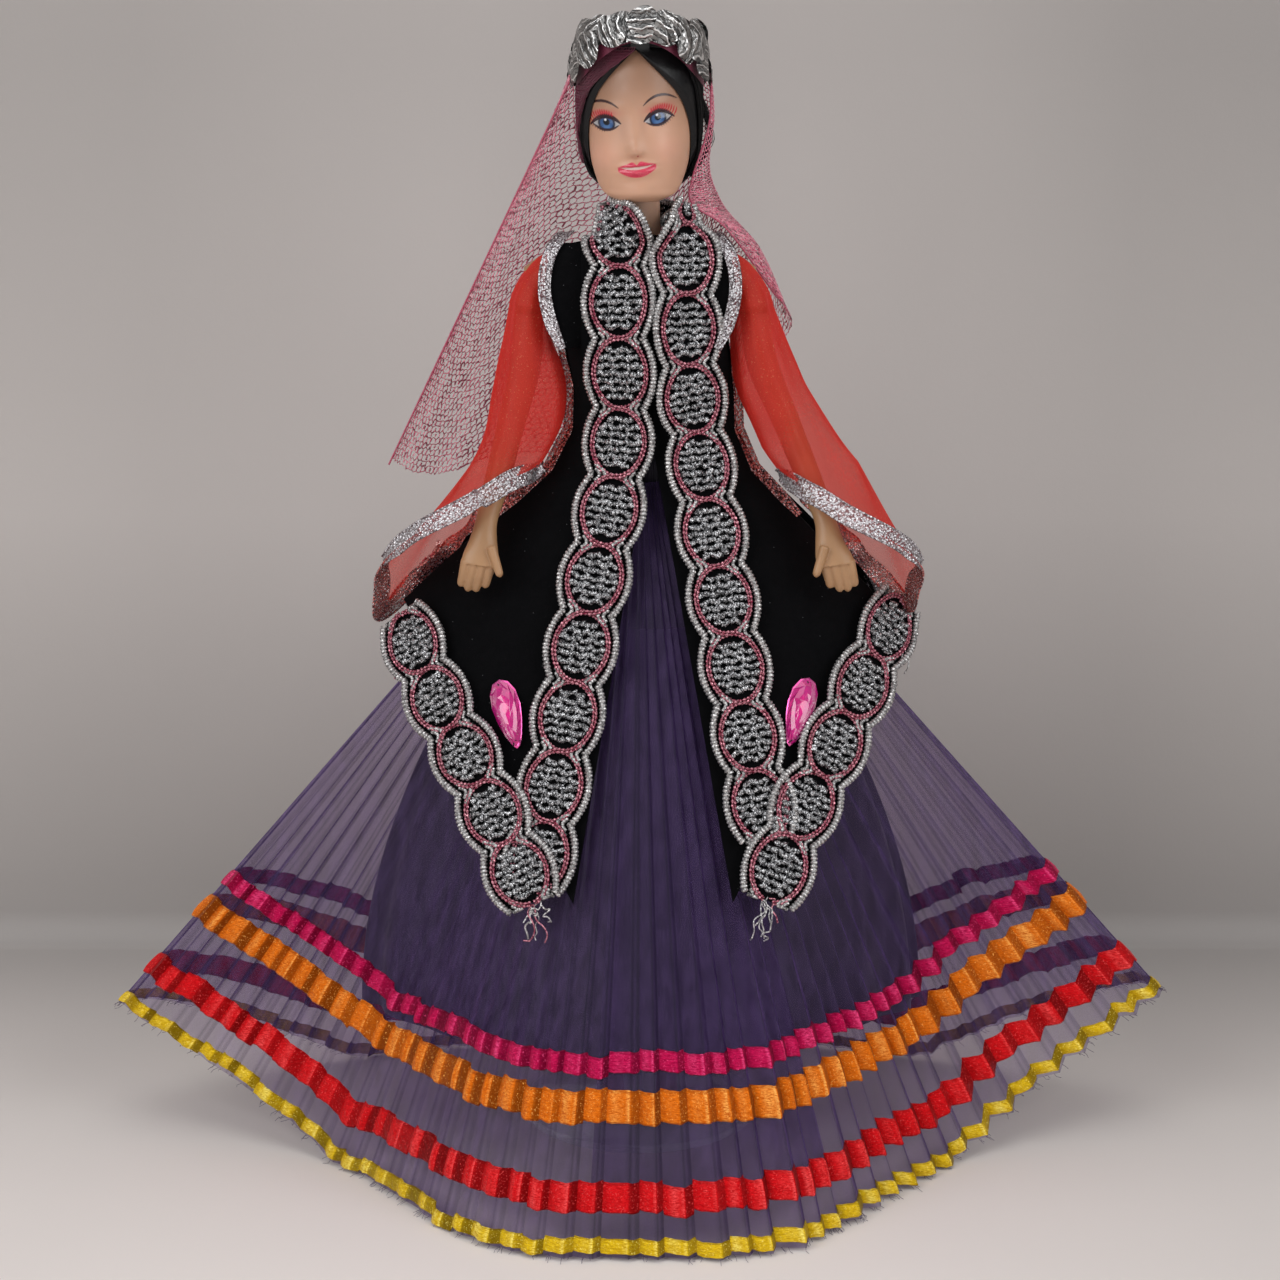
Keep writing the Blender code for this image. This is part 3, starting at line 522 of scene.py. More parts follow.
def satin_material(name, dark, light, painted_glint):
    """Glossy woven ribbon with puckers along the stitch lines, painted shade at its sewn edges and in the
    creases, and painted glints of light along its threads and in small specks.
    """
    look = Look(name)
    pucker = look.noise(3.4, 2.0, 0.5)
    stretch = look.node("ShaderNodeMapping", {"Vector": look.place, "Scale": (1.0, 1.0, 5.0)}).outputs[0]
    thread = look.noise(1.1, 3.0, 0.7, stretch)
    colour = look.blend(look.spread(thread, 0.35, 0.65), dark, light)
    edge = look.math("ABSOLUTE", look.math("SUBTRACT", look.mark(), 0.5))
    # Darker along the ribbon's sewn edges: painted shade.
    painted_stitch_shade = look.spread(edge, 0.40, 0.44, 0.0, 0.35)
    colour = look.blend(painted_stitch_shade, colour, tuple(c * 0.5 for c in dark))
    # The fold attribute darkens the creases as painted shade, and where it is low lays on painted highlights.
    fold = look.mark("fold")
    colour = look.blend(look.spread(fold, 0.5, 1.0, 0.0, 0.85), colour, tuple(c * 0.22 for c in dark))
    painted_sheen_streak = look.math("MULTIPLY", look.spread(fold, 0.5, 0.0), look.spread(thread, 0.38, 0.60))
    colour = look.blend(painted_sheen_streak, colour, painted_glint)
    # Small bright specks: painted glints.
    bright = look.spread(look.noise(0.5, 2.0, 0.8), 0.59, 0.70)
    colour = look.blend(look.math("MULTIPLY", bright, 0.75), colour, painted_glint)
    normal = look.bump(thread, 0.10)
    normal = look.bump(pucker, 0.55, 0.8, normal)
    rough = look.spread(thread, 0.3, 0.7, 0.30, 0.42)
    return look.finish(look.principled(colour, rough, normal, Anisotropic=0.6, Sheen_Weight=0.04,
                                       Sheen_Tint=light, Specular_IOR_Level=0.55, Specular_Tint=light))


def chiffon_material():
    look = Look("chiffon")
    weave = look.noise(0.25, 2.0, 0.7)
    painted_glint = look.spread(look.noise(0.55, 2.0, 0.9), 0.63, 0.70)
    shade = look.noise(6.0, 2.0)
    colour = look.blend(shade, (0.74, 0.026, 0.018), (0.88, 0.050, 0.036))
    # Light specks blended into the colour: painted glints.
    colour = look.blend(look.math("MULTIPLY", painted_glint, 0.55), colour, (1.0, 0.45, 0.25))
    body = look.principled(colour, look.spread(painted_glint, 0.0, 1.0, 0.5, 0.22), look.bump(weave, 0.05),
                           Sheen_Weight=0.06, Sheen_Tint=(1.0, 0.5, 0.4), Specular_IOR_Level=0.3)
    glow = look.node("ShaderNodeBsdfTranslucent", {"Color": colour}).outputs["BSDF"]
    body = look.node("ShaderNodeMixShader", {0: 0.4, 1: body, 2: glow}).outputs[0]
    opacity = look.math("ADD", look.spread(weave, 0.3, 0.7, 0.24, 0.38),
                        look.math("MULTIPLY", look.mark(), 0.24))
    return look.finish(see_through(look, body, opacity, (1.0, 0.64, 0.60)))


def tulle_material():
    look = Look("tulle")
    yarn = look.noise(0.4, 2.0)
    colour = look.blend(look.spread(yarn, 0.35, 0.65), (0.88, 0.090, 0.230), (1.00, 0.540, 0.600))
    colour = look.blend(look.mark(), colour, (0.30, 0.004, 0.050))
    rough = look.spread(yarn, 0.3, 0.7, 0.55, 0.4)
    return look.finish(look.principled(colour, rough, look.bump(yarn, 0.05), Sheen_Weight=0.3))


def sequin_material():
    """Crumpled foil: each disc has its own tone and its own run of creases, with painted highlights along its
    larger creases and painted shade in its fine creases.
    """
    look = Look("sequin_foil")
    own = look.mark()
    turning = look.node("ShaderNodeCombineXYZ", {0: look.math("MULTIPLY", own, 31.0),
                                                 1: look.math("MULTIPLY", own, 17.0),
                                                 2: look.math("MULTIPLY", own, 47.0)}).outputs[0]
    turned = look.node("ShaderNodeMapping", {"Vector": look.place, "Rotation": turning}).outputs[0]
    crumple = look.noise(2.6, 2.0, 0.5, turned)
    creases = look.creases(turned, 2.1, 5.0)
    fine = look.creases(turned, 0.9, 7.0)
    tone = look.math("ADD", look.math("MULTIPLY", look.noise(5.0, 1.0, 0.5, turned), 0.9),
                     look.math("MULTIPLY", crumple, 0.5))
    colour = look.blend(look.spread(tone, 0.45, 0.95), (0.09, 0.09, 0.09), (0.44, 0.43, 0.42))
    # Dark fine creases: painted shade.
    colour = look.blend(look.spread(fine, 0.12, 0.02), colour, (0.030, 0.030, 0.030))
    # Bright lines along the larger creases: painted highlights.
    colour = look.blend(look.spread(creases, 0.90, 0.985), colour, (0.94, 0.93, 0.92))
    rough = look.spread(crumple, 0.3, 0.7, 0.22, 0.40)
    normal = look.bump(creases, 0.35, 1.0, look.bump(crumple, 0.9, 1.0, look.bump(fine, 0.10)))
    return look.finish(look.principled(colour, rough, normal, Metallic=1.0))


def gem_material():
    look = Look("gem_acrylic")
    depth = look.noise(2.5, 2.0)
    colour = look.blend(depth, (0.50, 0.004, 0.16), (0.86, 0.02, 0.36))
    scratch = look.noise(0.5)
    return look.finish(look.principled(colour, look.spread(scratch, 0.3, 0.7, 0.03, 0.10),
                                       look.bump(scratch, 0.006), Transmission_Weight=0.35, IOR=1.49,
                                       Coat_Weight=0.7, Specular_IOR_Level=0.9))


def foil_material():
    look = Look("gem_foil")
    grain = look.noise(0.8)
    colour = look.blend(grain, (0.80, 0.03, 0.30), (0.95, 0.25, 0.55))
    return look.finish(look.principled(colour, look.spread(grain, 0.3, 0.7, 0.15, 0.3),
                                       look.bump(grain, 0.05), Metallic=1.0))


def clear_material():
    look = Look("stand_plastic")
    scratch = look.noise(1.1, 4.0)
    rough = look.spread(scratch, 0.3, 0.7, 0.06, 0.2)
    body = look.principled((0.80, 0.82, 0.83), rough, look.bump(scratch, 0.01), Coat_Weight=0.3)
    opacity = look.spread(scratch, 0.3, 0.7, 0.28, 0.36)
    return look.finish(see_through(look, body, opacity, (0.95, 0.96, 0.97)))


def backdrop_material():
    look = Look("studio_paper")
    fleck = look.noise(1.5, 3.0)
    wide = look.spread(look.noise(220.0, 2.0), 0.3, 0.7, 0.97, 1.03)
    # The mark holds the paper's grey with painted light falloff laid into it.
    grey = look.math("MULTIPLY", look.mark(), wide)
    colour = look.blend(1.0, (1.0, 0.925, 0.885), look.node("ShaderNodeCombineColor", {
        0: grey, 1: grey, 2: grey}).outputs[0], "MULTIPLY")
    paper = look.principled(colour, 0.75, look.bump(fleck, 0.03))
    behind = look.math("MULTIPLY", look.node("ShaderNodeNewGeometry").outputs["Backfacing"],
                       look.node("ShaderNodeLightPath").outputs["Is Camera Ray"])
    clear = look.node("ShaderNodeBsdfTransparent").outputs["BSDF"]
    return look.finish(look.node("ShaderNodeMixShader", {0: behind, 1: paper, 2: clear}).outputs[0])


SKIN = skin_material()
FACE = face_material()
HAIR = hair_material()
VELVET = velvet_material()
CORD = metal_thread("silver_cord", (0.20, 0.19, 0.19), (0.88, 0.86, 0.85), 0.5, 0.32)
LATTICE = metal_thread("silver_yarn", (0.02, 0.02, 0.024), (0.86, 0.86, 0.88), 0.42, 0.18)
CHAIN = metal_thread("magenta_yarn", (0.24, 0.010, 0.045), (0.84, 0.42, 0.48), 0.42, 0.32)
LACE = lace_material("lace_trim", (0.16, 0.12, 0.13), (0.62, 0.60, 0.62))
RED_LACE = lace_material("red_lace_trim", (0.12, 0.03, 0.03), (0.60, 0.16, 0.14))
ORGANZA = organza_material()
LINING = cloth_material("lining_cloth", (0.006, 0.004, 0.011), (0.018, 0.011, 0.030))
BAND_CLOTH = cloth_material("band_cloth", (0.070, 0.001, 0.014), (0.160, 0.005, 0.038))
SATIN = {
    "ribbon_magenta": satin_material("satin_magenta", (0.27, 0.002, 0.036), (0.58, 0.010, 0.085),
                                     (0.85, 0.08, 0.24)),
    "ribbon_orange": satin_material("satin_orange", (0.48, 0.080, 0.004), (0.82, 0.190, 0.010),
                                    (1.00, 0.50, 0.12)),
    "ribbon_red": satin_material("satin_red", (0.40, 0.004, 0.006), (0.72, 0.010, 0.014),
                                 (0.95, 0.10, 0.10)),
    "ribbon_gold": satin_material("satin_gold", (0.46, 0.260, 0.006), (0.80, 0.540, 0.015),
                                  (1.00, 0.85, 0.20)),
}
CHIFFON = chiffon_material()
TULLE = tulle_material()
SEQUIN = sequin_material()
GEM = gem_material()
FOIL = foil_material()
CLEAR = clear_material()


# ---------------------------------------------------------------- sections of the body
def sections(table, z):
    """Half-width, front, back and middle of a body at heights z."""
    return [np.interp(z, table[:, 0], table[:, k]) for k in range(1, 5)]


def section_point(table, z, turn, proud=0.0):
    """Points on a body section. `turn` is 0 at the front and 90 degrees at the doll's left."""
    z, turn = np.broadcast_arrays(np.asarray(z, float), np.asarray(turn, float))
    width, front, back, middle = sections(table, z)
    depth = np.where(np.cos(turn) > 0, front, back)
    return np.stack([middle + (width + proud) * np.sin(turn), -(depth + proud) * np.cos(turn), z], axis=-1)


def vest_surface(x, z, proud):
    """Points of the vest's front at x and z, `proud` millimetres off it."""
    width, front, _, middle = sections(VEST, z)
    side = np.clip((x - middle) / (width + proud), -0.999, 0.999)
    return np.stack([middle + (width + proud) * side, -(front + proud) * np.sqrt(1 - side**2), z], axis=-1)


def vest_edge(z):
    """How far round from the front the side edge of a front panel is, in degrees."""
    z = np.asarray(z, float)
    up = 88 - 16 * np.sin(math.pi * np.clip((z - ARMHOLE_Z) / 22, 0, 1)) - 12 * (z - ARMHOLE_Z) / 27
    low = mix(64.0, 88.0, np.clip((z - VEST_SIDE_Z) / (ARMHOLE_Z - VEST_SIDE_Z), 0, 1))
    return np.where(z > ARMHOLE_Z, up, low)


def vest_x(side, z):
    """Where a front panel's inner edge lies: beside the middle, then parting below the waist."""
    parting = np.maximum(0.0, 187 - z) / 109
    return 3.0 + side * 0.3 + parting * (20.0 if side > 0 else -19.5)


# ---------------------------------------------------------------- skirt
def hem_outline(x):
    """y and z of the hem's front at x."""
    bulge = 1 / (1 + (np.abs(x) / BULGE_HALF_WIDTH) ** 4)
    edge = 1 / (1 + (HEM_HALF_WIDTH / BULGE_HALF_WIDTH) ** 4)
    return HEM_SIDE_Y - HEM_FRONT * (bulge - edge) / (1 - edge)


def hem_point(turn):
    x = HEM_HALF_WIDTH * np.sin(turn)
    back = HEM_SIDE_Y + HEM_BACK * np.abs(np.cos(turn)) ** 1.2
    y = np.where(np.cos(turn) > 0, hem_outline(x), back)
    lift = np.where(x > 0, HEM_LIFT_LEFT, HEM_LIFT_RIGHT)
    z = SKIRT_LOW[2] + lift * np.maximum(0.0, np.abs(x) - HEM_LIFT_START)
    return np.stack([x, y, z], axis=-1)


def waist_point(turn):
    depth = np.where(np.cos(turn) > 0, 12.5, 14.5)
    return np.stack([15.5 * np.sin(turn), -depth * np.cos(turn), np.full_like(turn, WAIST_Z)], axis=-1)


def even_turns():
    """Turn for each share of the hem's length, so that pleats are equally wide."""
    turns = np.linspace(0, TAU, 4001)
    steps = np.linalg.norm(np.diff(hem_point(turns), axis=0), axis=1) + 0.004
    along = np.concatenate([[0], np.cumsum(steps)])
    return along / along[-1], turns


HEM_SHARES, HEM_TURNS = even_turns()


def turn_at(u):
    return np.interp(np.asarray(u) % 1.0, HEM_SHARES, HEM_TURNS)


PLEAT_WIDTH = random.uniform(0.72, 1.36, PLEATS)
PLEAT_EDGES = np.concatenate([[0], np.cumsum(PLEAT_WIDTH)]) / PLEAT_WIDTH.sum()
PLEAT_NUMBERS = np.arange(PLEATS + 1)
PLEAT_DEPTH = random.uniform(0.7, 1.4, PLEATS) * PLEAT_WIDTH ** 0.5
PLEAT_STEP = random.uniform(0.5, 1.17, PLEATS)


def pleat_number(u):
    """Which pleat a place on the hem is in, counted from the front."""
    return np.floor(np.interp(np.asarray(u) % 1.0, PLEAT_EDGES, PLEAT_NUMBERS) + 1e-7).astype(int) % PLEATS


def pleat(u):
    """Place within the pleat, the stepped place its panel keeps, and its fold's height."""
    number = pleat_number(u)
    f = np.clip(np.interp(np.asarray(u) % 1.0, PLEAT_EDGES, PLEAT_NUMBERS) - number, 0, 1)
    turn = turn_at(u)
    sharp = mix(0.72, 0.88, smooth(-0.4, 0.3, np.sin(turn)))
    slow = 0.22 * FOLD_AT
    stepped = np.where(f < FOLD_AT, 0.22 * f, slow + (f - FOLD_AT) / (1 - FOLD_AT) * (1 - slow))
    stepped = mix(f, stepped, sharp * PLEAT_STEP[number] * 0.85)
    fold = np.where(f < FOLD_AT, f / FOLD_AT, (1 - f) / (1 - FOLD_AT)) * PLEAT_DEPTH[number]
    return f, np.interp(number + stepped, PLEAT_NUMBERS, PLEAT_EDGES), fold


def skirt_point(u, share, proud=0.0):
    """Points on the pleated skirt, `share` of the way down."""
    _, stepped, fold = pleat(u)
    turn = turn_at(u)
    kept = turn_at(stepped)
    kept = np.where(np.abs(kept - turn) > 3, turn, kept)
    hem = hem_point(kept)
    true_hem = hem_point(turn)
    hem = np.stack([true_hem[..., 0], hem[..., 1], hem[..., 2]], axis=-1)
    share = np.asarray(share, float)[..., None]
    point = mix(waist_point(turn), hem, share)
    ahead = mix(waist_point(turn + 0.02), hem_point(turn + 0.02), share)
    behind = mix(waist_point(turn - 0.02), hem_point(turn - 0.02), share)
    along = ahead - behind
    outwards = unit(np.stack([along[..., 1], -along[..., 0], np.zeros_like(along[..., 0])], axis=-1))
    depth = (fold - 0.5) * (0.5 + 1.0 * share[..., 0])
    sag = 0.35 * wobble(u * 90, 3) * share[..., 0]
    point = point + outwards * (depth + sag + proud)[..., None]
    point[..., 2] = np.maximum(point[..., 2], 0.5)
    return point


def pleat_columns():
    """Columns of the skirt mesh, with one on every fold."""
    inside = np.array([0.0, 0.18, 0.36, 0.54, 0.66, FOLD_AT, 0.81, 0.90, 0.97])
    return np.interp((PLEAT_NUMBERS[:-1, None] + inside[None]).ravel(), PLEAT_NUMBERS, PLEAT_EDGES)


def build_skirt():
    u = pleat_columns()
    shares = np.concatenate([np.linspace(0, 0.7, 22), np.linspace(0.72, 1.0, 22)])
    f, _, _ = pleat(u)
    # crease_and_shade: high along each sharp fold and on the steep back of each pleat; the organza darkens
    # its colour there as painted shade and makes the cloth denser.
    crease_and_shade = bell(f, FOLD_AT, 0.06) + (f > 0.88) * 0.7
    turn = turn_at(u)
    # Raised near the front's middle: painted shade there.
    crease_and_shade = crease_and_shade + 0.9 * bell(HEM_HALF_WIDTH * np.sin(turn), 0, 30.0) * (np.cos(turn) > 0)
    grid_u, grid_s = np.meshgrid(u, shares)
    shape = Shape()
    shape.grid(skirt_point(grid_u, grid_s), True, 0, np.broadcast_to(crease_and_shade, grid_u.shape).ravel())
    fray(shape)
    shape.piece("skirt_organza", [ORGANZA], "torso", ["skirt"])
    build_overlap()
    build_waistband()
    for name, (top, bottom) in RIBBONS.items():
        build_ribbon(name, top, bottom)


def fray(shape):
    """Cut thread ends along the raw hem."""
    for _ in range(420):
        u = random.random()
        start = skirt_point(np.array([u]), np.array([0.9995]))[0]
        away = unit(np.array((start[0], start[1] + 12, 0.0)))
        reach = random.uniform(0.6, 2.6)
        bend = random.normal(0, 0.5, 3)
        end = start + away * reach * 0.8 + np.array((0, 0, -0.5 * reach)) + bend * 0.6
        middle = (start + end) / 2 + random.normal(0, 0.25, 3)
        line = np.array([start, middle, end])
        line[:, 2] = np.maximum(line[:, 2], 0.25)
        # Mark 1.0: the organza draws these threads densest and in its darkest painted shade.
        shape.tube(line, 0.055, 4, 0, 1.0)


def build_overlap():
    """The hidden end of the wound pleated strip: a second layer behind the skirt's front."""
    ends = [math.asin(x / HEM_HALF_WIDTH) for x in OVERLAP_X]
    turns = np.linspace(*ends, 90)
    shares = np.linspace(0.2, 0.925, 30)
    grid_t, grid_s = np.meshgrid(turns, shares)
    point = mix(waist_point(grid_t), hem_point(grid_t), grid_s[..., None])
    wave = 0.25 * np.sin(grid_t * 160) * grid_s
    point[..., 1] += 2.0 + wave
    shape = Shape()
    # Mark 1.0: the organza makes this layer denser and gives it its darkest painted shade.
    shape.grid(point, False, 0, 1.0)
    shape.piece("skirt_overlap", [ORGANZA], "torso", [])


def build_waistband():
    """The gathered top of the skirt, drawn in over an elastic."""
    turns = np.linspace(0, TAU, 400, endpoint=False)
    heights = np.linspace(WAIST_Z - 2, WAIST_Z + 10.5, 16)
    grid_t, grid_z = np.meshgrid(turns, heights)
    share = (grid_z - heights[0]) / (heights[-1] - heights[0])
    gather = 0.28 * np.sin(grid_t * 74 + 2 * np.sin(grid_t * 5)) * (1 - 0.5 * share)
    body = section_point(TORSO, grid_z, grid_t, 1.5 + gather + 0.5 * np.sin(share * math.pi))
    shape = Shape()
    shape.grid(body, True)
    shape.piece("waistband_gathers", [LINING], "torso", ["waistband"])


def build_ribbon(name, top, bottom):
    """A satin ribbon sewn on over the pleats, with painted shade in its creases and painted highlights on its
    folds.
    """
    u = pleat_columns()
    across = np.array([0.0, 0.06, 0.28, 0.5, 0.72, 0.94, 1.0])
    lift = np.array([0.12, 0.50, 0.62, 0.68, 0.62, 0.50, 0.12])
    grid_u, grid_a = np.meshgrid(u, across)
    waver = 0.0016 * wobble(grid_u * 300, 5)
    puff = np.broadcast_to(lift[:, None], grid_u.shape) + 0.10 * wobble(grid_u * 700 + grid_a * 5, 8)
    puff = np.where((grid_a == 0) | (grid_a == 1), 0.12, puff)
    f, _, _ = pleat(u)
    number = pleat_number(grid_u)
    puffed = random.uniform(0.1, 1.25, PLEATS)[number]
    bulge = puffed * np.sin(math.pi * np.clip(f / FOLD_AT, 0, 1))
    bulge = bulge * np.sin(math.pi * mix(0.15, 0.85, grid_a))
    waver = waver + random.normal(0, 0.0022, PLEATS)[number]
    shape = Shape()
    shape.grid(skirt_point(grid_u, mix(top, bottom, grid_a) + waver, puff + bulge), True, 0, grid_a.ravel())
    made = shape.piece(name + "_satin", [SATIN[name]], "torso", [name],
                       flat=True)
    # shade: painted shade in the creases; glare and shine: painted highlights on the folds. Both go into the
    # fold attribute.
    shade = np.where(f < FOLD_AT, 0.35 * bell(f, 0.0, 0.10) + 0.8 * bell(f, FOLD_AT, 0.08), 1.0)
    shade = shade * mix(0.45, 1.25, puffed / 1.25)
    glare = random.uniform(0, 1.1, PLEATS)[number] ** 2
    shine = glare * bell(f, random.uniform(0.2, 0.55, PLEATS)[number], 0.16)
    shine = shine * (0.6 + 0.5 * wobble(grid_a * 7 + grid_u * 400, 6))
    shine = shine + random.uniform(0, 1.3, PLEATS)[number] * bell(f, 0.66, 0.04)
    fold = made.data.attributes.new("fold", "FLOAT", "POINT")
    fold.data.foreach_set("value", np.clip(0.5 + 0.5 * shade - 0.6 * shine, 0, 1).astype(np.float32).ravel())


def build_lining():
    """The opaque underskirt, a soft bell with shallow folds."""
    turns = np.linspace(0, TAU, 240, endpoint=False)
    shares = np.linspace(0, 1, 40)
    grid_t, grid_s = np.meshgrid(turns, shares)
    half = (LINING_HIGH[0] - LINING_LOW[0]) / 2
    width = 13.6 + (half - 13.6) * np.sin(math.pi / 2 * grid_s)
    narrowed = (1 - np.abs(np.sin(grid_t)) ** 1.4) ** (1 / 1.4)
    front = -(11 + 37 * grid_s) * narrowed
    back = -(13 + 19 * grid_s) * np.cos(grid_t)
    y = np.where(np.cos(grid_t) > 0, front, back)
    ripple = 1 + 0.018 * grid_s * np.sin(grid_t * 22 + 2 * np.sin(grid_t * 3))
    z = mix(LINING_HIGH[2], LINING_LOW[2], grid_s) + 0.5 * np.sin(grid_t * 9) * grid_s
    shape = Shape()
    shape.grid(np.stack([width * np.sin(grid_t) * ripple, y * ripple, z], axis=-1), True)
    shape.piece("lining_cloth", [LINING], "torso", ["lining"])


# ---------------------------------------------------------------- vest
def closed_sheet(shape, outer, inner, slot=0):
    """Two sheets with rims between them, all one skin."""
    edge = np.concatenate([outer[:1], inner[:1]])
    shape.grid(outer, False, slot)
    shape.grid(inner, False, slot)
    for pair in (edge, np.concatenate([outer[-1:], inner[-1:]])):
        shape.grid(pair, False, slot)
    for side in (0, -1):
        shape.grid(np.stack([outer[:, side], inner[:, side]], axis=1), False, slot)


def vest_front_rows(side, proud):
    shares = np.linspace(0, 1, 90)[:, None]
    u = np.linspace(0, 1, 44)[None, :]
    outer_z = mix(VEST_SHOULDER_Z, VEST_SIDE_Z, shares)
    inner_z = mix(239.6, 80.0, shares)
    outer_x = section_point(VEST, outer_z, side * np.radians(vest_edge(outer_z)))[..., 0]
    underlap = 3.0 * smooth(186, 192, inner_z) if side < 0 else 0.0
    x = mix(outer_x, vest_x(side, inner_z) + underlap, u)
    z = mix(outer_z, inner_z, u)
    drape = 0.5 * np.sin(x * 0.16 + z * 0.02) * smooth(190, 120, z)
    under = -0.9 * smooth(1.5, 3.5, x) if side < 0 else 0.0
    return vest_surface(x, z, proud + drape + under)


def vest_back_rows(proud):
    share = np.linspace(0, 1, 70)[:, None]
    u = np.linspace(-1, 1, 80)[None, :]
    z = mix(mix(239.0, VEST_SHOULDER_Z, np.abs(u)), mix(VEST_BACK_Z, VEST_SIDE_Z, u * u), share)
    turn = math.pi + u * np.radians(vest_edge(z))
    drape = 0.7 * np.sin(turn * 14) * smooth(185, 120, z)
    return section_point(VEST, z, turn, proud + drape)


def build_vest():
    for name, side in (("vest_front_left", 1), ("vest_front_right", -1)):
        shape = Shape()
        closed_sheet(shape, vest_front_rows(side, 0.8), vest_front_rows(side, 0.0))
        shape.piece(name + "_velvet", [VELVET], "torso", [name])
    shape = Shape()
    closed_sheet(shape, vest_back_rows(0.8), vest_back_rows(0.0))
    shape.piece("vest_back_velvet", [VELVET], "torso", ["vest_back"])


def build_blouse():
    turns = np.linspace(0, TAU, 120, endpoint=False)
    heights = np.linspace(185, 237.6, 40)
    grid_t, grid_z = np.meshgrid(turns, heights)
    rows = section_point(TORSO, grid_z, grid_t, 0.9 + 0.25 * np.sin(grid_t * 17) * np.cos(grid_z * 0.2))
    keep_out = np.hypot(rows[..., 1], rows[..., 2] - SHOULDER_Z)
    rows[..., 0] = np.where(keep_out < 6.4, np.clip(rows[..., 0], -18.6, 18.6), rows[..., 0])
    shape = Shape()
    shape.grid(rows, True)
    shape.piece("blouse_chiffon", [CHIFFON], "torso", ["blouse"])


# ---------------------------------------------------------------- braid
PITCH = 18.0


class Strip:
    """A line laid on a surface, with its own along, across and outward directions."""

    def __init__(self, path, outward):
        self.path, self.along = resample(path, 0.25)
        raw = np.asarray(path, float)
        gaps = np.concatenate([[0], np.cumsum(np.linalg.norm(np.diff(raw, axis=0), axis=1))])
        self.out = unit(np.stack([np.interp(self.along, gaps, outward[:, k]) for k in range(3)], axis=1))
        tangent = unit(np.gradient(self.path, axis=0))
        self.out = unit(self.out - tangent * (self.out * tangent).sum(1, keepdims=True))
        self.tangent = tangent
        self.across = np.cross(tangent, self.out)
        self.length = self.along[-1]

    def at(self, along, across=0.0, out=0.0):
        """Points at distances along the strip, moved across and outwards."""
        along = np.asarray(along, float)
        across, out = np.broadcast_to(across, along.shape), np.broadcast_to(out, along.shape)
        read = lambda rows: np.stack([np.interp(along, self.along, rows[:, k]) for k in range(3)], axis=-1)
        return read(self.path) + read(self.across) * across[:, None] + read(self.out) * out[:, None]


def vest_strip(points, proud):
    """A strip on the vest's front through (x, z) points."""
    flat = np.array([(x, 0.0, z) for x, z in points])
    line = rounded(flat, 0.5)
    x, z = line[:, 0], line[:, 2]
    right = vest_surface(x + 1.5, z, proud) - vest_surface(x - 1.5, z, proud)
    up = vest_surface(x, z + 3, proud) - vest_surface(x, z - 3, proud)
    return Strip(vest_surface(x, z, proud), unit(np.cross(right, up)))


def neck_strip(points, side):
    """A front strip that starts high at the side of the neck and runs down on to the vest."""
    low = vest_strip(points, 1.6)
    spread = np.array((1.3, 1.8, 2.4))[:, None] * (1 + side) / 2 * np.array((2, 0, 0))
    rise = np.array(((8.0, -6.2, 247.0), (7.0, -8.0, 244.5), (5.9, -9.7, 241.8))) + spread
    rise *= np.array((side, 1, 1))
    path = rounded(np.concatenate([rise, low.path[8::60]]), 0.5)
    nearest = np.linalg.norm(path[:, None] - low.path[None, ::4], axis=-1).argmin(axis=1)
    outward = low.out[::4][nearest]
    at_neck = unit(np.array((side * 0.62, -0.78, 0.05)))
    share = smooth(236, 243, path[:, 2])[:, None]
    return Strip(path, unit(mix(outward, at_neck, share)))


def ribbed_cord(shape, strip, along, across, out, radius, slot=0):
    """The silver edging: a cord wrapped round and round with thread."""
    path = strip.at(along, across, out)
    path, walked = resample(path, 0.24)
    # groove: 1 in each groove between wraps; it narrows the cord there and, passed as the mark, darkens it as
    # painted shade.
    groove = np.array((0.0, 0.35, 1.0, 0.35))[np.arange(len(path)) % 4]
    uneven = 1 + 0.10 * wobble(walked, 2, 1.6)
    shape.tube(path, radius * (1 - 0.32 * groove) * uneven, 8, slot, groove)


def chain(shape, strip, along, across, out, radius, phase):
    """Two rows of chain stitch side by side."""
    path = strip.at(along, across, out)
    path, walked = resample(path, 0.24)
    tangent = unit(np.gradient(path, axis=0))
    outward = strip.at(np.interp(walked, walked, np.linspace(along[0], along[-1], len(walked))), 0.0, 1.0)
    outward = outward - strip.at(np.linspace(along[0], along[-1], len(walked)), 0.0, 0.0)
    sideways = unit(np.cross(tangent, outward))
    for side in (-1, 1):
        beat = np.sin(walked * TAU / 1.15 + phase + side)
        # The mark rises at each stitch's narrow waist and darkens it there: painted shade between the
        # stitches.
        shape.tube(path + sideways * side * radius * 1.05, radius * (1 + 0.34 * beat), 6, 1, 0.5 - 0.5 * beat)


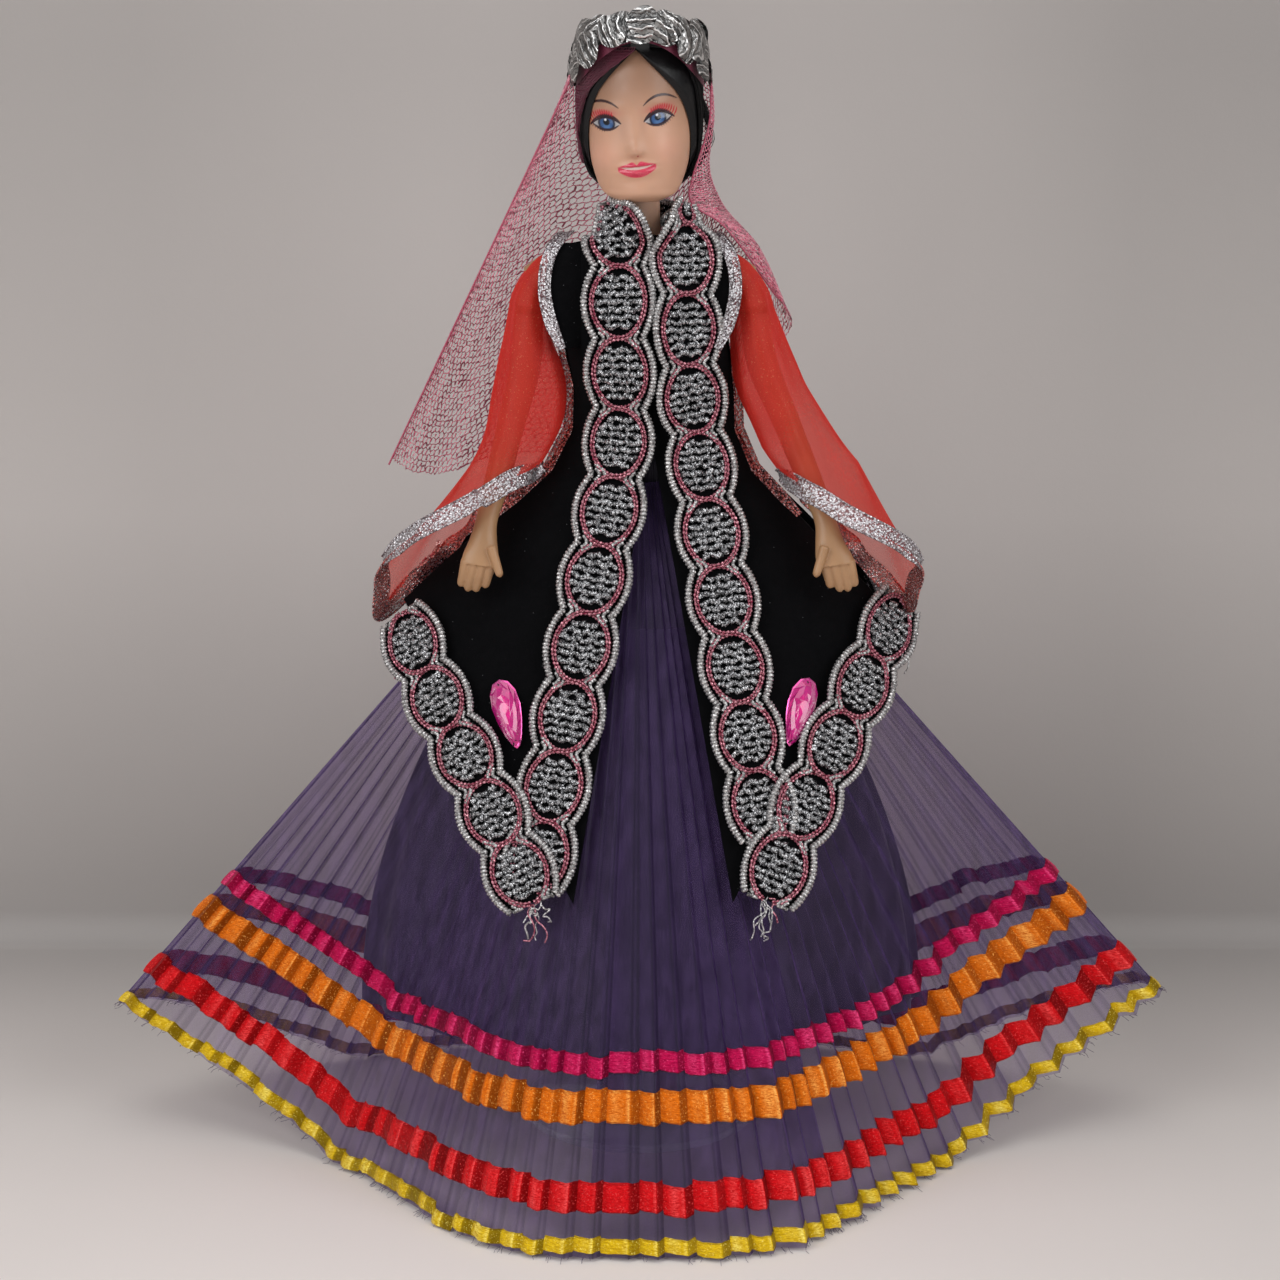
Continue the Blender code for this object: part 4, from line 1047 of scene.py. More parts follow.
def lattice(shape, strip, centre, half_along, half_across, out):
    """The crinkled silver rows that fill a medallion, tied by a few upright threads."""
    rows = np.linspace(-0.90, 0.90, 7) * half_along
    for row in rows[centre + rows > 0.3]:
        reach = half_across * math.sqrt(max(0.05, 1 - (row / half_along * 0.93) ** 2)) - 0.1
        count = max(8, int(reach * 2 / 0.26))
        t = np.linspace(-reach, reach, count)
        seed = random.uniform(0, 50)
        along = centre + row + 0.30 * np.sin(t * 1.7 + seed) + 0.20 * random.normal(size=count)
        height = out + 0.35 * np.abs(np.sin(t * 1.9 + seed)) + 0.16 * random.normal(size=count)
        thick = 0.56 + 0.36 * np.abs(wobble(t, seed, 0.30)) + 0.14 * random.normal(size=count)
        row_path = strip.at(along, t, height)
        shape.tube(row_path, np.clip(thick, 0.26, 1.10), 6, 2, random.uniform(0, 0.6, count))
    for place in (-0.35, 0.35):
        t = np.linspace(max(-0.85 * half_along, 0.3 - centre), 0.85 * half_along, 26)
        side = place * half_across + 0.4 * np.sin(t * 2.9 + random.uniform(0, 6))
        height = out + 0.55 + 0.35 * np.cos(t * 3.4)
        shape.tube(strip.at(centre + t, side, height), 0.28 + 0.10 * random.random(len(t)), 6, 2)


def braid(name, strip, cad_nodes, half=9.0, pitch=PITCH, start=0.0, proud=0.0, narrow=0.0):
    """Medallions in a row: silver edging outside, crossing magenta chains, silver lattice inside.

    The strip is thinner over its first `narrow` millimetres.
    """
    shape = Shape()
    medallions = max(1, int(round((strip.length - start) / pitch)))
    pitch = (strip.length - start) / medallions
    along = np.arange(0, strip.length, 0.15)
    wave = np.sin(math.pi * np.clip(along - start, 0, None) / pitch)
    swell = np.abs(wave) ** 0.46
    size = lambda place: half / 8.4 * (mix(0.22, 1.0, smooth(-2, narrow, place)) if narrow else 1.0)
    scale = size(along)
    edge = (5.6 + 2.6 * np.abs(wave) ** 0.8) * scale
    for side in (-1, 1):
        ribbed_cord(shape, strip, along, side * edge, proud + 0.8, 0.98)
        ring = side * np.sign(wave) * swell * 6.35 * scale
        lifted = proud + 0.75 + 0.35 * side * np.exp(-(wave / 0.35) ** 2)
        chain(shape, strip, along, ring, lifted, 0.33, side)
    for i in range(medallions):
        middle = start + (i + 0.5) * pitch
        lattice(shape, strip, middle, 0.365 * pitch, 5.7 * size(middle), proud + 0.35)
    for place in start + np.arange(medallions + 1) * pitch:
        if place >= 0:
            gusset(shape, strip, place, size(place), proud + 0.5)
    net = np.linspace(-1, 1, 9)
    ground = np.arange(0, strip.length, 0.6)
    reach = np.interp(ground, along, edge)
    rows = np.stack([strip.at(ground, reach * n, proud + 0.10) for n in net], axis=1)
    shape.grid(rows, False, 3)
    return shape.piece(name, [CORD, CHAIN, LATTICE, VELVET], "torso", cad_nodes)


def gusset(shape, strip, place, scale, out):
    """Short loops of silver cord that fill the notch beside each crossing of the chains."""
    for side in (-1, 1):
        for inset in (0.0, 1.15):
            t = np.linspace(-1, 1, 15)
            along = np.clip(place + t * (2.7 - inset), 0, strip.length)
            across = side * (5.1 - inset * 0.2 - (2.6 - 1.3 * inset) * (1 - t**2)) * scale
            # The mark darkens the loops in a regular beat along them: painted shade between wraps.
            shape.tube(strip.at(along, across, out), 0.52, 6, 0, 0.5 + 0.5 * np.cos(t * 18))


def build_tails():
    """Loose ends of silver and magenta yarn left hanging at the points of the vest."""
    shape = Shape()
    for x, z, count in ((-26.0, 80.5, 7), (31.5, 80.0, 7), (-60.5, 139.5, 12), (67.0, 141.0, 12)):
        for _ in range(count):
            start = np.array((x + random.normal(0, 0.8), 0, z + random.normal(0, 0.8)))
            steps = np.cumsum(random.normal(0, 0.75, (7, 3)) + np.array((0, 0, -0.95)), axis=0)
            line = rounded(start + np.concatenate([np.zeros((1, 3)), steps]), 0.3)
            line = vest_surface(line[:, 0], line[:, 2], 3.0) + line * np.array((0, 0.35, 0))
            shape.tube(line, random.uniform(0.14, 0.26), 6, int(random.random() < 0.3))
    shape.piece("braid_tails", [CORD, CHAIN], "torso", [])


def build_braids():
    right = ((-5.3, 238.5), (-5.3, 224.0), (-4.8, 205.0), (-5.0, 190.0), (-13.5, 145.0), (-27.0, 79.0))
    left = ((10.9, 237.0), (11.4, 222.0), (12.1, 205.0), (14.5, 186.0), (22.5, 140.0), (33.0, 84.0))
    hem_right = ((-60.0, 143.5), (-50.0, 124.0), (-40.0, 107.0), (-29.0, 86.0), (-26.0, 80.0))
    hem_left = ((66.0, 146.0), (57.0, 130.0), (47.0, 112.0), (35.0, 90.0), (31.0, 80.0))
    braid("braid_front_right_thread", neck_strip(right, -1), ["braid_front_right"], start=-1.0, proud=0.3,
          narrow=8.0)
    braid("braid_front_left_thread", neck_strip(left, 1), ["braid_front_left"], start=-11.5, proud=0.8,
          narrow=10.0)
    braid("braid_hem_right_thread", vest_strip(hem_right, 1.6), ["braid_hem_right"], proud=1.3)
    braid("braid_hem_left_thread", vest_strip(hem_left, 1.6), ["braid_hem_left"], proud=1.3)
    u = np.linspace(-0.97, 0.97, 200)
    z = mix(VEST_BACK_Z, VEST_SIDE_Z, u * u) + 7.5
    turn = math.pi + u * np.radians(vest_edge(z))
    line = section_point(VEST, z, turn, 1.8)
    outward = unit(np.stack([np.sin(turn), -np.cos(turn), 0 * turn], axis=-1))
    braid("braid_hem_back_thread", Strip(line, outward), ["braid_hem_back"])
    turn = np.radians(np.linspace(33, 327, 120))
    dip = np.maximum(0, np.cos(turn)) ** 2
    radius = 8.9 + 1.6 * dip
    line = np.stack([radius * np.sin(turn), -radius * np.cos(turn), 242.2 - 2.4 * dip], axis=-1)
    outward = unit(np.stack([np.sin(turn), -np.cos(turn), -0.10 + 0 * turn], axis=-1))
    braid("braid_collar_thread", Strip(line, outward), ["braid_collar"], half=4.4, pitch=10.5)


def lace_band(shape, path, outward, half, sides_up, slot=0):
    """A narrow knitted silver ribbon along a line, with a corded rim on each side."""
    strip = Strip(path, outward)
    along = np.arange(0, strip.length, 0.3)
    half = half * mix(0.55, 1.0, smooth(0, 7, np.minimum(along, strip.length - along)))
    across = np.linspace(-1, 1, 7)[:, None] * half
    rows = np.stack([strip.at(along, a, sides_up + 0.18 * np.sin(along * 5.2 + i * 2.1))
                     for i, a in enumerate(across)], axis=1)
    shape.grid(rows, False, slot)
    for side in (-1, 1):
        ribbed_cord(shape, strip, along, side * half, sides_up + 0.1, 0.30, slot)


def build_trims():
    for label, side in (("left", 1), ("right", -1)):
        front = np.array(((19.6, -5.0, 238.2), (22.6, -8.4, 234.3), (23.9, -9.4, 227.0), (22.6, -11.0, 219.0),
                          (19.4, -13.4, 211.5)))
        back = front[::-1] * np.array((1.0, -0.92, 1.0))
        line = rounded(np.concatenate([front[::-1], [(18.2, 0.0, 239.0)], back[::-1]]), 0.4)
        line = line * np.array((side, 1, 1))
        over = np.array((0, 0, 1.0)) * smooth(233, 239, line[:, 2:]) * 40
        outward = unit(line * np.array((0.25, 3.0, 0.0)) + over)
        shape = Shape()
        lace_band(shape, line, outward, 1.45, 0.5)
        edge = line[(line[:, 1] < -4.0) & (line[:, 2] < 237.5)]
        inset = vest_surface(np.full(len(edge), side * 15.0), edge[:, 2], 0.9)
        shape.grid(np.stack([mix(edge, inset, share) for share in np.linspace(0, 1, 6)], axis=1), False, 1)
        shape.piece("armhole_lace_" + label, [LACE, VELVET], "torso", ["armhole_trim_" + label])
        z = np.linspace(211.0, 168.0, 90)
        turn = side * np.radians(vest_edge(z) - 5)
        line = section_point(VEST, z, turn, 1.4)
        outward = unit(np.stack([0.6 * np.sin(turn), -np.cos(turn) - 0.5, 0 * turn], axis=-1))
        shape = Shape()
        lace_band(shape, line, outward, 1.3, 0.4)
        shape.piece("side_lace_" + label, [RED_LACE], "torso", ["side_trim_" + label])


def build_gems():
    for label, x, z, tilt in (("right", -33.0, 123.0, 16.0), ("left", 40.0, 123.0, -18.0)):
        build_gem(label, x, z, math.radians(tilt))


def build_gem(label, x, z, turn):
    """A faceted flat-backed teardrop stone on bright foil, sewn on at both ends."""
    at = lambda dx, dz: vest_surface(np.array([x + dx]), np.array([z + dz]), 2.0)[0]
    centre = at(0, 0)
    right, up = unit(at(3, 0) - at(-3, 0)), unit(at(0, 6) - at(0, -6))
    out = unit(np.cross(right, up))
    right, up = right * math.cos(turn) + up * math.sin(turn), up * math.cos(turn) - right * math.sin(turn)
    sides = 14

    def ring(scale, height, shift=0.0):
        t = (np.arange(sides) + shift) / sides * TAU
        narrow = np.sin(t) * (0.74 + 0.26 * np.cos(t)) * 4.7 * scale
        tall = 8.4 * scale * np.cos(t) - 0.5 * (1 - scale)
        return centre + np.outer(narrow, right) + np.outer(tall, up) + out * height

    rows = np.stack([ring(0.94, 0.0), ring(1.0, 0.75), ring(0.80, 1.75, 0.5), ring(0.56, 2.45),
                     ring(0.34, 2.85, 0.5), ring(0.0, 3.0)])
    shape = Shape()
    shape.grid(rows, True)
    shape.piece("gem_%s_stone" % label, [GEM], "torso", ["gem_" + label], flat=True)
    shape = Shape()
    shape.grid(np.stack([ring(1.06, -0.05), ring(0.97, 0.30), ring(0.0, 0.05)]), True, 0)
    for end in (6.9, -7.1):
        for angle in np.linspace(0, TAU, 4)[:-1]:
            away = right * math.cos(angle) + up * math.sin(angle)
            hole = centre + up * end + out * 1.1
            line = np.array([hole, hole + away * 0.5 + out * 0.15, hole + away * 1.3 - out * 0.6])
            shape.tube(line, 0.16, 5, 1)
    shape.piece("gem_%s_foil" % label, [FOIL, HAIR], "torso", [])


# ---------------------------------------------------------------- arms and sleeves
def limb_rings(stations, side, count, spacing=1.0):
    """Smoothly lofted rings down an arm."""
    steps = np.concatenate([[0], np.cumsum(np.linalg.norm(np.diff(stations[:, 2:4], axis=0), axis=1))])
    at = np.linspace(0, steps[-1], max(3, int(steps[-1] / spacing)))
    values = curve_through(steps, stations, at)
    x = values[:, 1] if side > 0 else values[:, 0]
    centre = np.stack([x, values[:, 2], values[:, 3]], axis=1)
    direction = unit(np.stack([values[:, 4], np.full(len(at), -0.2), np.full(len(at), -1.0)], axis=1))
    across = unit(np.array((1.0, 0.0, 0.0)) - direction * direction[:, :1])
    depth = np.cross(direction, across)
    turn = np.arange(count) / count * TAU
    rows = (centre[:, None] + across[:, None] * (values[:, 5, None] * np.cos(turn))[..., None]
            + depth[:, None] * (values[:, 6, None] * np.sin(turn))[..., None])
    return rows * np.array((side, 1.0, 1.0))


def finger(start, direction, length, radius, curl, side):
    """Rings along one finger, slightly bent, with a rounded tip."""
    t = np.linspace(0, 1, 14)
    direction = unit(np.asarray(direction, float))
    bend = np.array((0.0, 1.0, 0.0)) * curl
    path = np.asarray(start, float) + np.outer(t * length, direction) + np.outer(t**2 * length, bend)
    thick = radius * (1 - 0.22 * t) * np.sqrt(np.clip(1 - ((t - 0.86) / 0.15).clip(0, 1) ** 2, 0.02, 1))
    return path * np.array((side, 1, 1)), thick


def build_arm(label, side):
    """A moulded arm with a palm, four joined fingers and a thumb, fused into one skin."""
    shape = Shape()
    rows = limb_rings(ARM, side, 28, 1.2)
    top = np.array((side * SHOULDER_X, 0, SHOULDER_Z))
    hand = 1 if side > 0 else 0
    wrist = ARM[-1]
    palm = np.array((wrist[hand], wrist[2], wrist[3]))
    shape.grid(rows, True)
    cap = rows[-1].mean(axis=0)
    shape.grid(np.stack([rows[-1], np.broadcast_to(cap, rows[-1].shape)]), True)
    cap = rows[0].mean(axis=0)
    shape.grid(np.stack([np.broadcast_to(cap, rows[0].shape), rows[0]]), True)
    lengths = (7.6, 8.8, 8.6, 7.0)
    for offset, length in zip(np.linspace(-3.2, 3.4, 4), lengths):
        start = palm + np.array((offset, 0.1 * abs(offset), 1.6 - 0.1 * abs(offset)))
        path, thick = finger(start, (0.26 - 0.010 * offset, -0.14, -1.0), length, 1.36, 0.26, side)
        shape.tube(path, thick, 10)
    start = palm + np.array((-3.0, -0.6, 5.0))
    path, thick = finger(start, (-0.30, -0.24, -0.95), 8.0, 1.32, 0.0, side)
    shape.tube(path, thick, 10)
    shape.tube(np.array([top, top + np.array((side * 2.0, 0, 0)), top + np.array((side * 5.0, 0, -1.5))]),
               np.array((5.2, 5.4, 4.6)), 24, up=(0, 1, 0.01))
    shape.tube(np.array([top - np.array((side * 6.0, 0, 0)), top]), 2.9, 16, up=(0, 1, 0.01))
    arm = shape.piece("arm_%s_vinyl" % label, [SKIN])
    fused = arm.modifiers.new("fused", "REMESH")
    fused.mode = "VOXEL"
    fused.voxel_size = 0.26 * MM
    fused.use_smooth_shade = True
    soften = arm.modifiers.new("soften", "SMOOTH")
    soften.factor = 0.6
    soften.iterations = 3
    mesh = bpy.data.meshes.new_from_object(arm.evaluated_get(bpy.context.evaluated_depsgraph_get()))
    arm.modifiers.clear()
    arm.data = mesh
    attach(arm, "arm_" + label)
    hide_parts("arm_" + label)


def shoulder_rings(side, turn):
    """Rings that bend from the armhole over the shoulder down to the level of the armpit."""
    edges = SLEEVE_EDGES[side][0]
    bend = np.linspace(0, math.pi / 2, 14)[:, None]
    reach = mix(13.4, edges[2] - edges[1], bend / (math.pi / 2)) - 1.6 * np.sin(2 * bend)
    out = reach * (1 - np.cos(turn)) / 2
    y = -mix(6.7, 7.2, bend) * np.sin(turn) - 1.0 * bend
    return np.stack([edges[1] + out * np.sin(bend), y, edges[0] + out * np.cos(bend)], axis=-1)


def sleeve_rows(side, count=150):
    """Rings of the bell sleeve with soft gathers, from over the shoulder to the slanting mouth."""
    turn = np.arange(count) / count * TAU
    edges = SLEEVE_EDGES[side]
    z = np.linspace(edges[0, 0] - 1.0, edges[-1, 0], 40)
    inner, outer = curve_through(-edges[:, 0], edges[:, 1:], -z).T[:, :, None]
    middle_y = np.interp(-z, -ARM[:, 3], ARM[:, 2])[:, None]
    depth = np.interp(-z, (-221, -200, -185), (7.2, 7.8, 9.2))[:, None]
    x = mix(inner, outer, (1 - np.cos(turn)) / 2)
    tube = np.stack([x, middle_y - depth * np.sin(turn), z[:, None] - 3.0 * (1 - np.cos(turn)) / 2
                     * smooth(200, 186, z)[:, None]], axis=-1)
    points = SLEEVE_MOUTH[side]
    closed = np.concatenate([points[-2:], points, points[:3]])
    keys = np.array((-2.0, -1.0, 0.0, 1.0, 2.0, 3.0, 4.0, 5.0, 6.0, 7.0, 8.0, 9.0, 10.0, 11.0))
    mouth = curve_through(keys, closed, turn / TAU * 9)
    share = np.linspace(0, 1, 22)[1:, None, None]
    flow = tube[-1] - tube[-4]
    bell = mix(tube[-1][None] + flow[None] * share * 1.5, mouth[None], smooth(0, 1, share) ** 0.9)
    rows = np.concatenate([shoulder_rings(side, turn), tube, bell])
    down = np.linspace(0, 1, len(rows))[:, None]
    wave = np.sin(turn * 9 + down * 3.0) * 0.25 * (1 - down)
    wave = wave + np.sin(turn * 6 + 1.0 + down * 4) * 0.8 * down**2
    wave = wave * smooth(0.0, 0.2, down)
    rows = rows + unit(rows - rows.mean(axis=1, keepdims=True)) * wave[..., None]
    rows[..., 0] = np.maximum(rows[..., 0], np.interp(rows[..., 2], (203.0, 213.0), (18.4, 22.9)))
    return rows * np.array((side, 1.0, 1.0))


def build_sleeve(label, side):
    rows = sleeve_rows(side)
    shape = Shape()
    closeness = smooth(176, 196, rows[..., 2]) * smooth(44, 34, np.abs(rows[..., 0]))
    shape.grid(rows, True, 0, closeness.ravel())
    shape.piece("sleeve_%s_chiffon" % label, [CHIFFON], "arm_" + label, ["sleeve_" + label])
    build_cuff(label, rows)


def build_cuff(label, rows):
    """The silver band along the sleeve's mouth, and the ribbed band inside its hanging tip."""
    last, above = rows[-1], rows[-5]
    count = len(last)
    tangent = np.roll(last, -1, axis=0) - np.roll(last, 1, axis=0)
    outward = unit(np.cross(tangent, last - above))
    outward *= np.sign((outward * (last - last.mean(axis=0))).sum(1, keepdims=True))
    loop = last + unit(above - last) * 1.9
    front = np.arange(0, int(count * 0.40))
    back = np.arange(int(count * 0.40) - 1, count + 1) % count
    shape = Shape()
    facing = unit(outward[front] * 0.5 + np.array((0.0, -0.9, 0.25)))
    lace_band(shape, loop[front], facing, 2.4, 0.6, 0)
    lace_band(shape, loop[back], outward[back], 2.2, -0.45, 1)
    shape.piece("cuff_%s_lace" % label, [LACE, RED_LACE], "arm_" + label, ["cuff_" + label])


# ---------------------------------------------------------------- head
def head_point(z, turn, proud=0.0):
    z, turn = np.broadcast_arrays(np.asarray(z, float), np.asarray(turn, float))
    values = curve_through(HEAD[:, 0], HEAD[:, 1:4], z)
    width, front, back = values[..., 0], values[..., 1], values[..., 2]
    middle, depth = (back - front) / 2, (back + front) / 2
    return np.stack([(width + proud) * np.sin(turn), middle - (depth + proud) * np.cos(turn), z], axis=-1)


def bell(value, centre, width):
    return np.exp(-((value - centre) / width) ** 2)


VINYL = (0.54, 0.300, 0.195)
# The neck is coloured lighter than the face's vinyl: painted light on a neck that the chin shades.
NECK_VINYL_PAINTED_LIGHT = (0.78, 0.47, 0.33)
FACE_TILT = math.radians(6.0)
FACE_X = -1.3


def face_frame(x, z):
    """Face coordinates: level with the eyes, measured from the nose's tip line."""
    dx, dz = x - FACE_X, z - 262.0
    across = dx * math.cos(FACE_TILT) + dz * math.sin(FACE_TILT)
    up = dz * math.cos(FACE_TILT) - dx * math.sin(FACE_TILT)
    return across, up


EYE_X, EYE_Z = 6.4, 5.9


def face_relief(a, b):
    """How far the face stands out at across a, up b."""
    side = np.abs(a)
    nose = 0.85 * bell(a, 0, 2.2) * smooth(8.0, -1.2, b) * smooth(-3.7, -1.9, b)
    tip = 0.75 * bell(a, 0, 1.6) * bell(b, -1.1, 1.4) + 0.22 * bell(side, 1.6, 0.7) * bell(b, -1.8, 0.8)
    socket = -0.85 * bell(side, EYE_X - 0.4, 3.2) * bell(b, EYE_Z, 2.4)
    ball = 0.70 * bell(side, EYE_X, 2.4) * bell(b, EYE_Z - 0.1, 1.6)
    brow = 0.35 * bell(side, 6.0, 3.8) * bell(b, 9.6, 1.4)
    cheek = 0.45 * bell(side, 7.0, 3.2) * bell(b, -1.5, 3.2)
    lips = 0.75 * bell(a, 0, 3.6) * (bell(b, -4.9, 0.75) + 1.05 * bell(b, -6.6, 0.85))
    line = -0.35 * bell(a, 0, 3.6) * bell(b, -5.6, 0.35)
    philtrum = -0.18 * bell(a, 0, 0.5) * bell(b, -3.6, 0.6)
    chin = 0.75 * bell(a, 0, 3.4) * bell(b, -12.0, 2.2) - 0.30 * bell(a, 0, 3.5) * bell(b, -8.9, 0.9)
    return nose + tip + socket + ball + brow + cheek + lips + line + philtrum + chin


def soft_mask(distance, edge=0.10):
    """1 inside a shape, 0 outside, with a thin soft edge."""
    return np.clip(0.5 - distance / edge, 0, 1)


def stroke(a, b, points, width):
    """A painted line through points, thinner at its ends."""
    line = rounded([(x, y, 0.0) for x, y in points], 0.15)[:, :2]
    taper = np.sin(np.linspace(0.12, math.pi - 0.12, len(line))) ** 0.6 * width
    best = np.full(a.shape, 9.0)
    near = (a > line[:, 0].min() - 1) & (a < line[:, 0].max() + 1)
    near &= (b > line[:, 1].min() - 1) & (b < line[:, 1].max() + 1)
    pa, pb = a[near], b[near]
    found = np.full(pa.shape, 9.0)
    for (x, y), w in zip(line, taper):
        found = np.minimum(found, np.hypot(pa - x, pb - y) - w)
    best[near] = found
    return soft_mask(best)


def face_paint(a, b):
    """Colour and gloss of the painted face at across a, up b, with painted shade and painted light laid in
    among the doll's own paint.
    """
    colour = np.zeros(a.shape + (4,))
    colour[..., :3] = VINYL

    def lay(mask, tint, gloss=None):
        mask = mask[..., None]
        colour[..., :3] = colour[..., :3] * (1 - mask) + np.array(tint) * mask
        if gloss is not None:
            colour[..., 3] = np.maximum(colour[..., 3], mask[..., 0] * gloss)

    # Darker towards the top of the face, under the hairline and headband: painted shade.
    lay(np.clip(smooth(4.0, 17.0, b + 0.02 * a**2) * 0.85, 0, 1), (0.27, 0.145, 0.088))
    for side in (-1, 1):
        # Lighter on the cheeks: painted light.
        lay(bell(a * side, 7.8, 3.4) * bell(b, -2.0, 3.6) * 0.45, (0.78, 0.40, 0.29))
        # Darker in the hollows beside the bridge of the nose: painted shade.
        lay(bell(a * side, 2.6, 1.2) * bell(b, 4.6, 2.6) * 0.30, (0.34, 0.18, 0.12))
    for side in (-1, 1):
        paint_eye(a, b, side, lay)
        brow = [(side * x, y) for x, y in ((3.1, 9.3), (4.6, 10.5), (6.8, 11.4), (9.2, 11.3), (11.6, 10.2))]
        lay(stroke(a, b, brow, 0.34), (0.035, 0.010, 0.010), 0.3)
    paint_lips(a, b, lay)
    for side in (-1, 1):
        # Soft darker patches in the nostrils: painted shade.
        lay(soft_mask(np.hypot((a - side * 1.0) / 1.3, b + 2.75) - 0.22, 0.5) * 0.25, (0.40, 0.14, 0.10))
    lay(soft_mask(np.hypot(a - 0.5, b + 2.7) - 0.20, 0.16), (0.30, 0.020, 0.020), 0.2)
    return colour


def paint_eye(a, b, side, lay):
    """A large painted eye: eyeshadow, white, blue iris, dark lids, separate red lashes and a painted
    highlight.
    """
    p, q = a * side - EYE_X, b - EYE_Z
    q = q - 0.10 * p
    upper = lambda x: 1.72 - 0.145 * (x - 0.1) ** 2
    lower = lambda x: -1.60 + 0.125 * x**2
    on_face = lambda points: [(side * (x + EYE_X), y + 0.10 * x + EYE_Z) for x, y in points]
    lay(np.clip(bell(p, 0.6, 3.0) * bell(q, 2.4, 0.9) * 0.75, 0, 1), (0.50, 0.060, 0.085))
    white = soft_mask(np.maximum(q - upper(p), lower(p) - q), 0.16)
    lay(white, (0.30, 0.285, 0.30), 1.0)
    lay(white * smooth(1.6, 3.2, np.abs(p)) * 0.5, (0.60, 0.56, 0.55), 1.0)
    iris = np.hypot(p, q - 0.05)
    spokes = 0.5 + 0.5 * np.sin(np.arctan2(q - 0.05, p) * 26)
    lay(white * soft_mask(iris - 2.12, 0.24), (0.006, 0.010, 0.028), 1.0)
    lay(white * soft_mask(iris - 1.62, 0.40), (0.024, 0.070, 0.200), 1.0)
    lay(white * soft_mask(iris - 1.55, 0.30) * spokes * 0.35, (0.100, 0.210, 0.430), 1.0)
    lay(white * soft_mask(np.hypot(p, q + 0.75) - 0.80, 0.7) * 0.50, (0.110, 0.230, 0.460), 1.0)
    lay(white * soft_mask(np.hypot(p, q - 0.30) - 0.82, 0.16), (0.003, 0.003, 0.006), 1.0)
    lay(white * bell(q, 1.85, 0.85) * 0.85, (0.016, 0.010, 0.018), 1.0)
    # Pale spot on the iris: a painted highlight.
    lay(soft_mask(np.hypot(p + 0.20 * side, q - 0.85) - 0.27, 0.16), (0.80, 0.82, 0.86), 1.0)
    lay(stroke(a, b, on_face([(x, upper(x) + 0.08) for x in np.linspace(-3.5, 4.0, 9)]), 0.58),
        (0.022, 0.004, 0.008), 0.5)
    lay(stroke(a, b, on_face([(x, lower(x)) for x in np.linspace(-3.0, 3.5, 7)]), 0.34),
        (0.030, 0.010, 0.016), 0.3)
    for i, x in enumerate(np.linspace(-1.6, 4.0, 12)):
        root = (x, upper(x) + 0.35)
        tip = (x + 0.35 + 0.14 * x, root[1] + 1.15 + 0.06 * i)
        middle = ((root[0] + tip[0]) / 2 + 0.10, (root[1] + tip[1]) / 2 - 0.05)
        lay(stroke(a, b, on_face((root, middle, tip)), 0.17), (0.46, 0.003, 0.016), 0.4)
    for x in np.linspace(0.4, 3.2, 6):
        root = (x, lower(x))
        tip = (x + 0.40, root[1] - 0.60)
        middle = ((root[0] + tip[0]) / 2 + 0.05, (root[1] + tip[1]) / 2)
        lay(stroke(a, b, on_face((root, middle, tip)), 0.09), (0.025, 0.008, 0.012), 0.3)


def paint_lips(a, b, lay):
    """Pink lips, a bow above and a fuller curve below, parted by a pale smile."""
    corner_lift = 0.030 * a**2
    upper = -4.25 - 0.55 * np.exp(-(a / 0.55) ** 2) + 0.25 * bell(np.abs(a), 1.2, 0.8) - 0.035 * a**2
    lower = -7.95 + 0.085 * a**2
    smile = -5.65 + corner_lift
    ends = np.abs(a) - 4.75
    whole = soft_mask(np.maximum(np.maximum(b - upper, lower - b), ends), 0.22)
    lay(whole, (0.560, 0.018, 0.062), 0.7)
    # A lighter patch on the lower lip: painted highlight.
    lay(whole * bell(b, -6.9, 0.6) * bell(a, 0.6, 2.0) * 0.45, (0.76, 0.12, 0.17), 0.8)
    parting = np.abs(b - smile) - 0.34 * np.clip(1 - (a / 4.2) ** 2, 0, 1)
    lay(whole * soft_mask(parting, 0.16), (0.66, 0.50, 0.44), 0.4)
    lay(whole * soft_mask(np.abs(b - smile - 0.42 * np.clip(1 - (a / 4.4) ** 2, 0, 1)) - 0.05, 0.12),
        (0.34, 0.012, 0.030), 0.4)


def build_head():
    """The vinyl head: face relief and paint on a fine mesh, open underneath for the neck."""
    front = np.radians(np.arange(-80, 80, 0.72))
    back = np.radians(np.linspace(80, 280, 60, endpoint=False))
    turns = np.concatenate([front, back])
    z = np.concatenate([np.linspace(HEAD[0, 0], 280, 205), np.linspace(280.3, CROWN_Z, 26)])
    grid_t, grid_z = np.meshgrid(turns, z)
    rows = head_point(grid_z, grid_t)
    a, b = face_frame(rows[..., 0], rows[..., 2])
    facing = smooth(0.05, 0.5, np.cos(grid_t))
    rows[..., 1] -= face_relief(a, b) * facing
    crown = np.broadcast_to(rows[-1].mean(axis=0) + np.array((0, 0, 0.8)), rows[-1].shape)
    chin = mix(rows[0], rows[0].mean(axis=0), 0.45) + np.array((0, 0.6, 0.2))
    rows = np.concatenate([chin[None], rows, mix(rows[-1], crown, 0.5)[None], crown[None]])
    shape = Shape()
    shape.grid(rows, True)
    head = shape.piece("head_vinyl", [FACE], "head", ["head"])
    a, b = face_frame(rows[..., 0], rows[..., 2])
    colour = face_paint(a, b)
    plain = smooth(0.05, 0.35, -unit(rows - np.array((0, 0, 268.0)))[..., 1])[..., None]
    base = np.array((*VINYL, 0.0))
    colour = base * (1 - plain) + colour * plain
    paint = head.data.attributes.new("paint", "FLOAT_COLOR", "POINT")
    paint.data.foreach_set("color", colour.astype(np.float32).ravel())


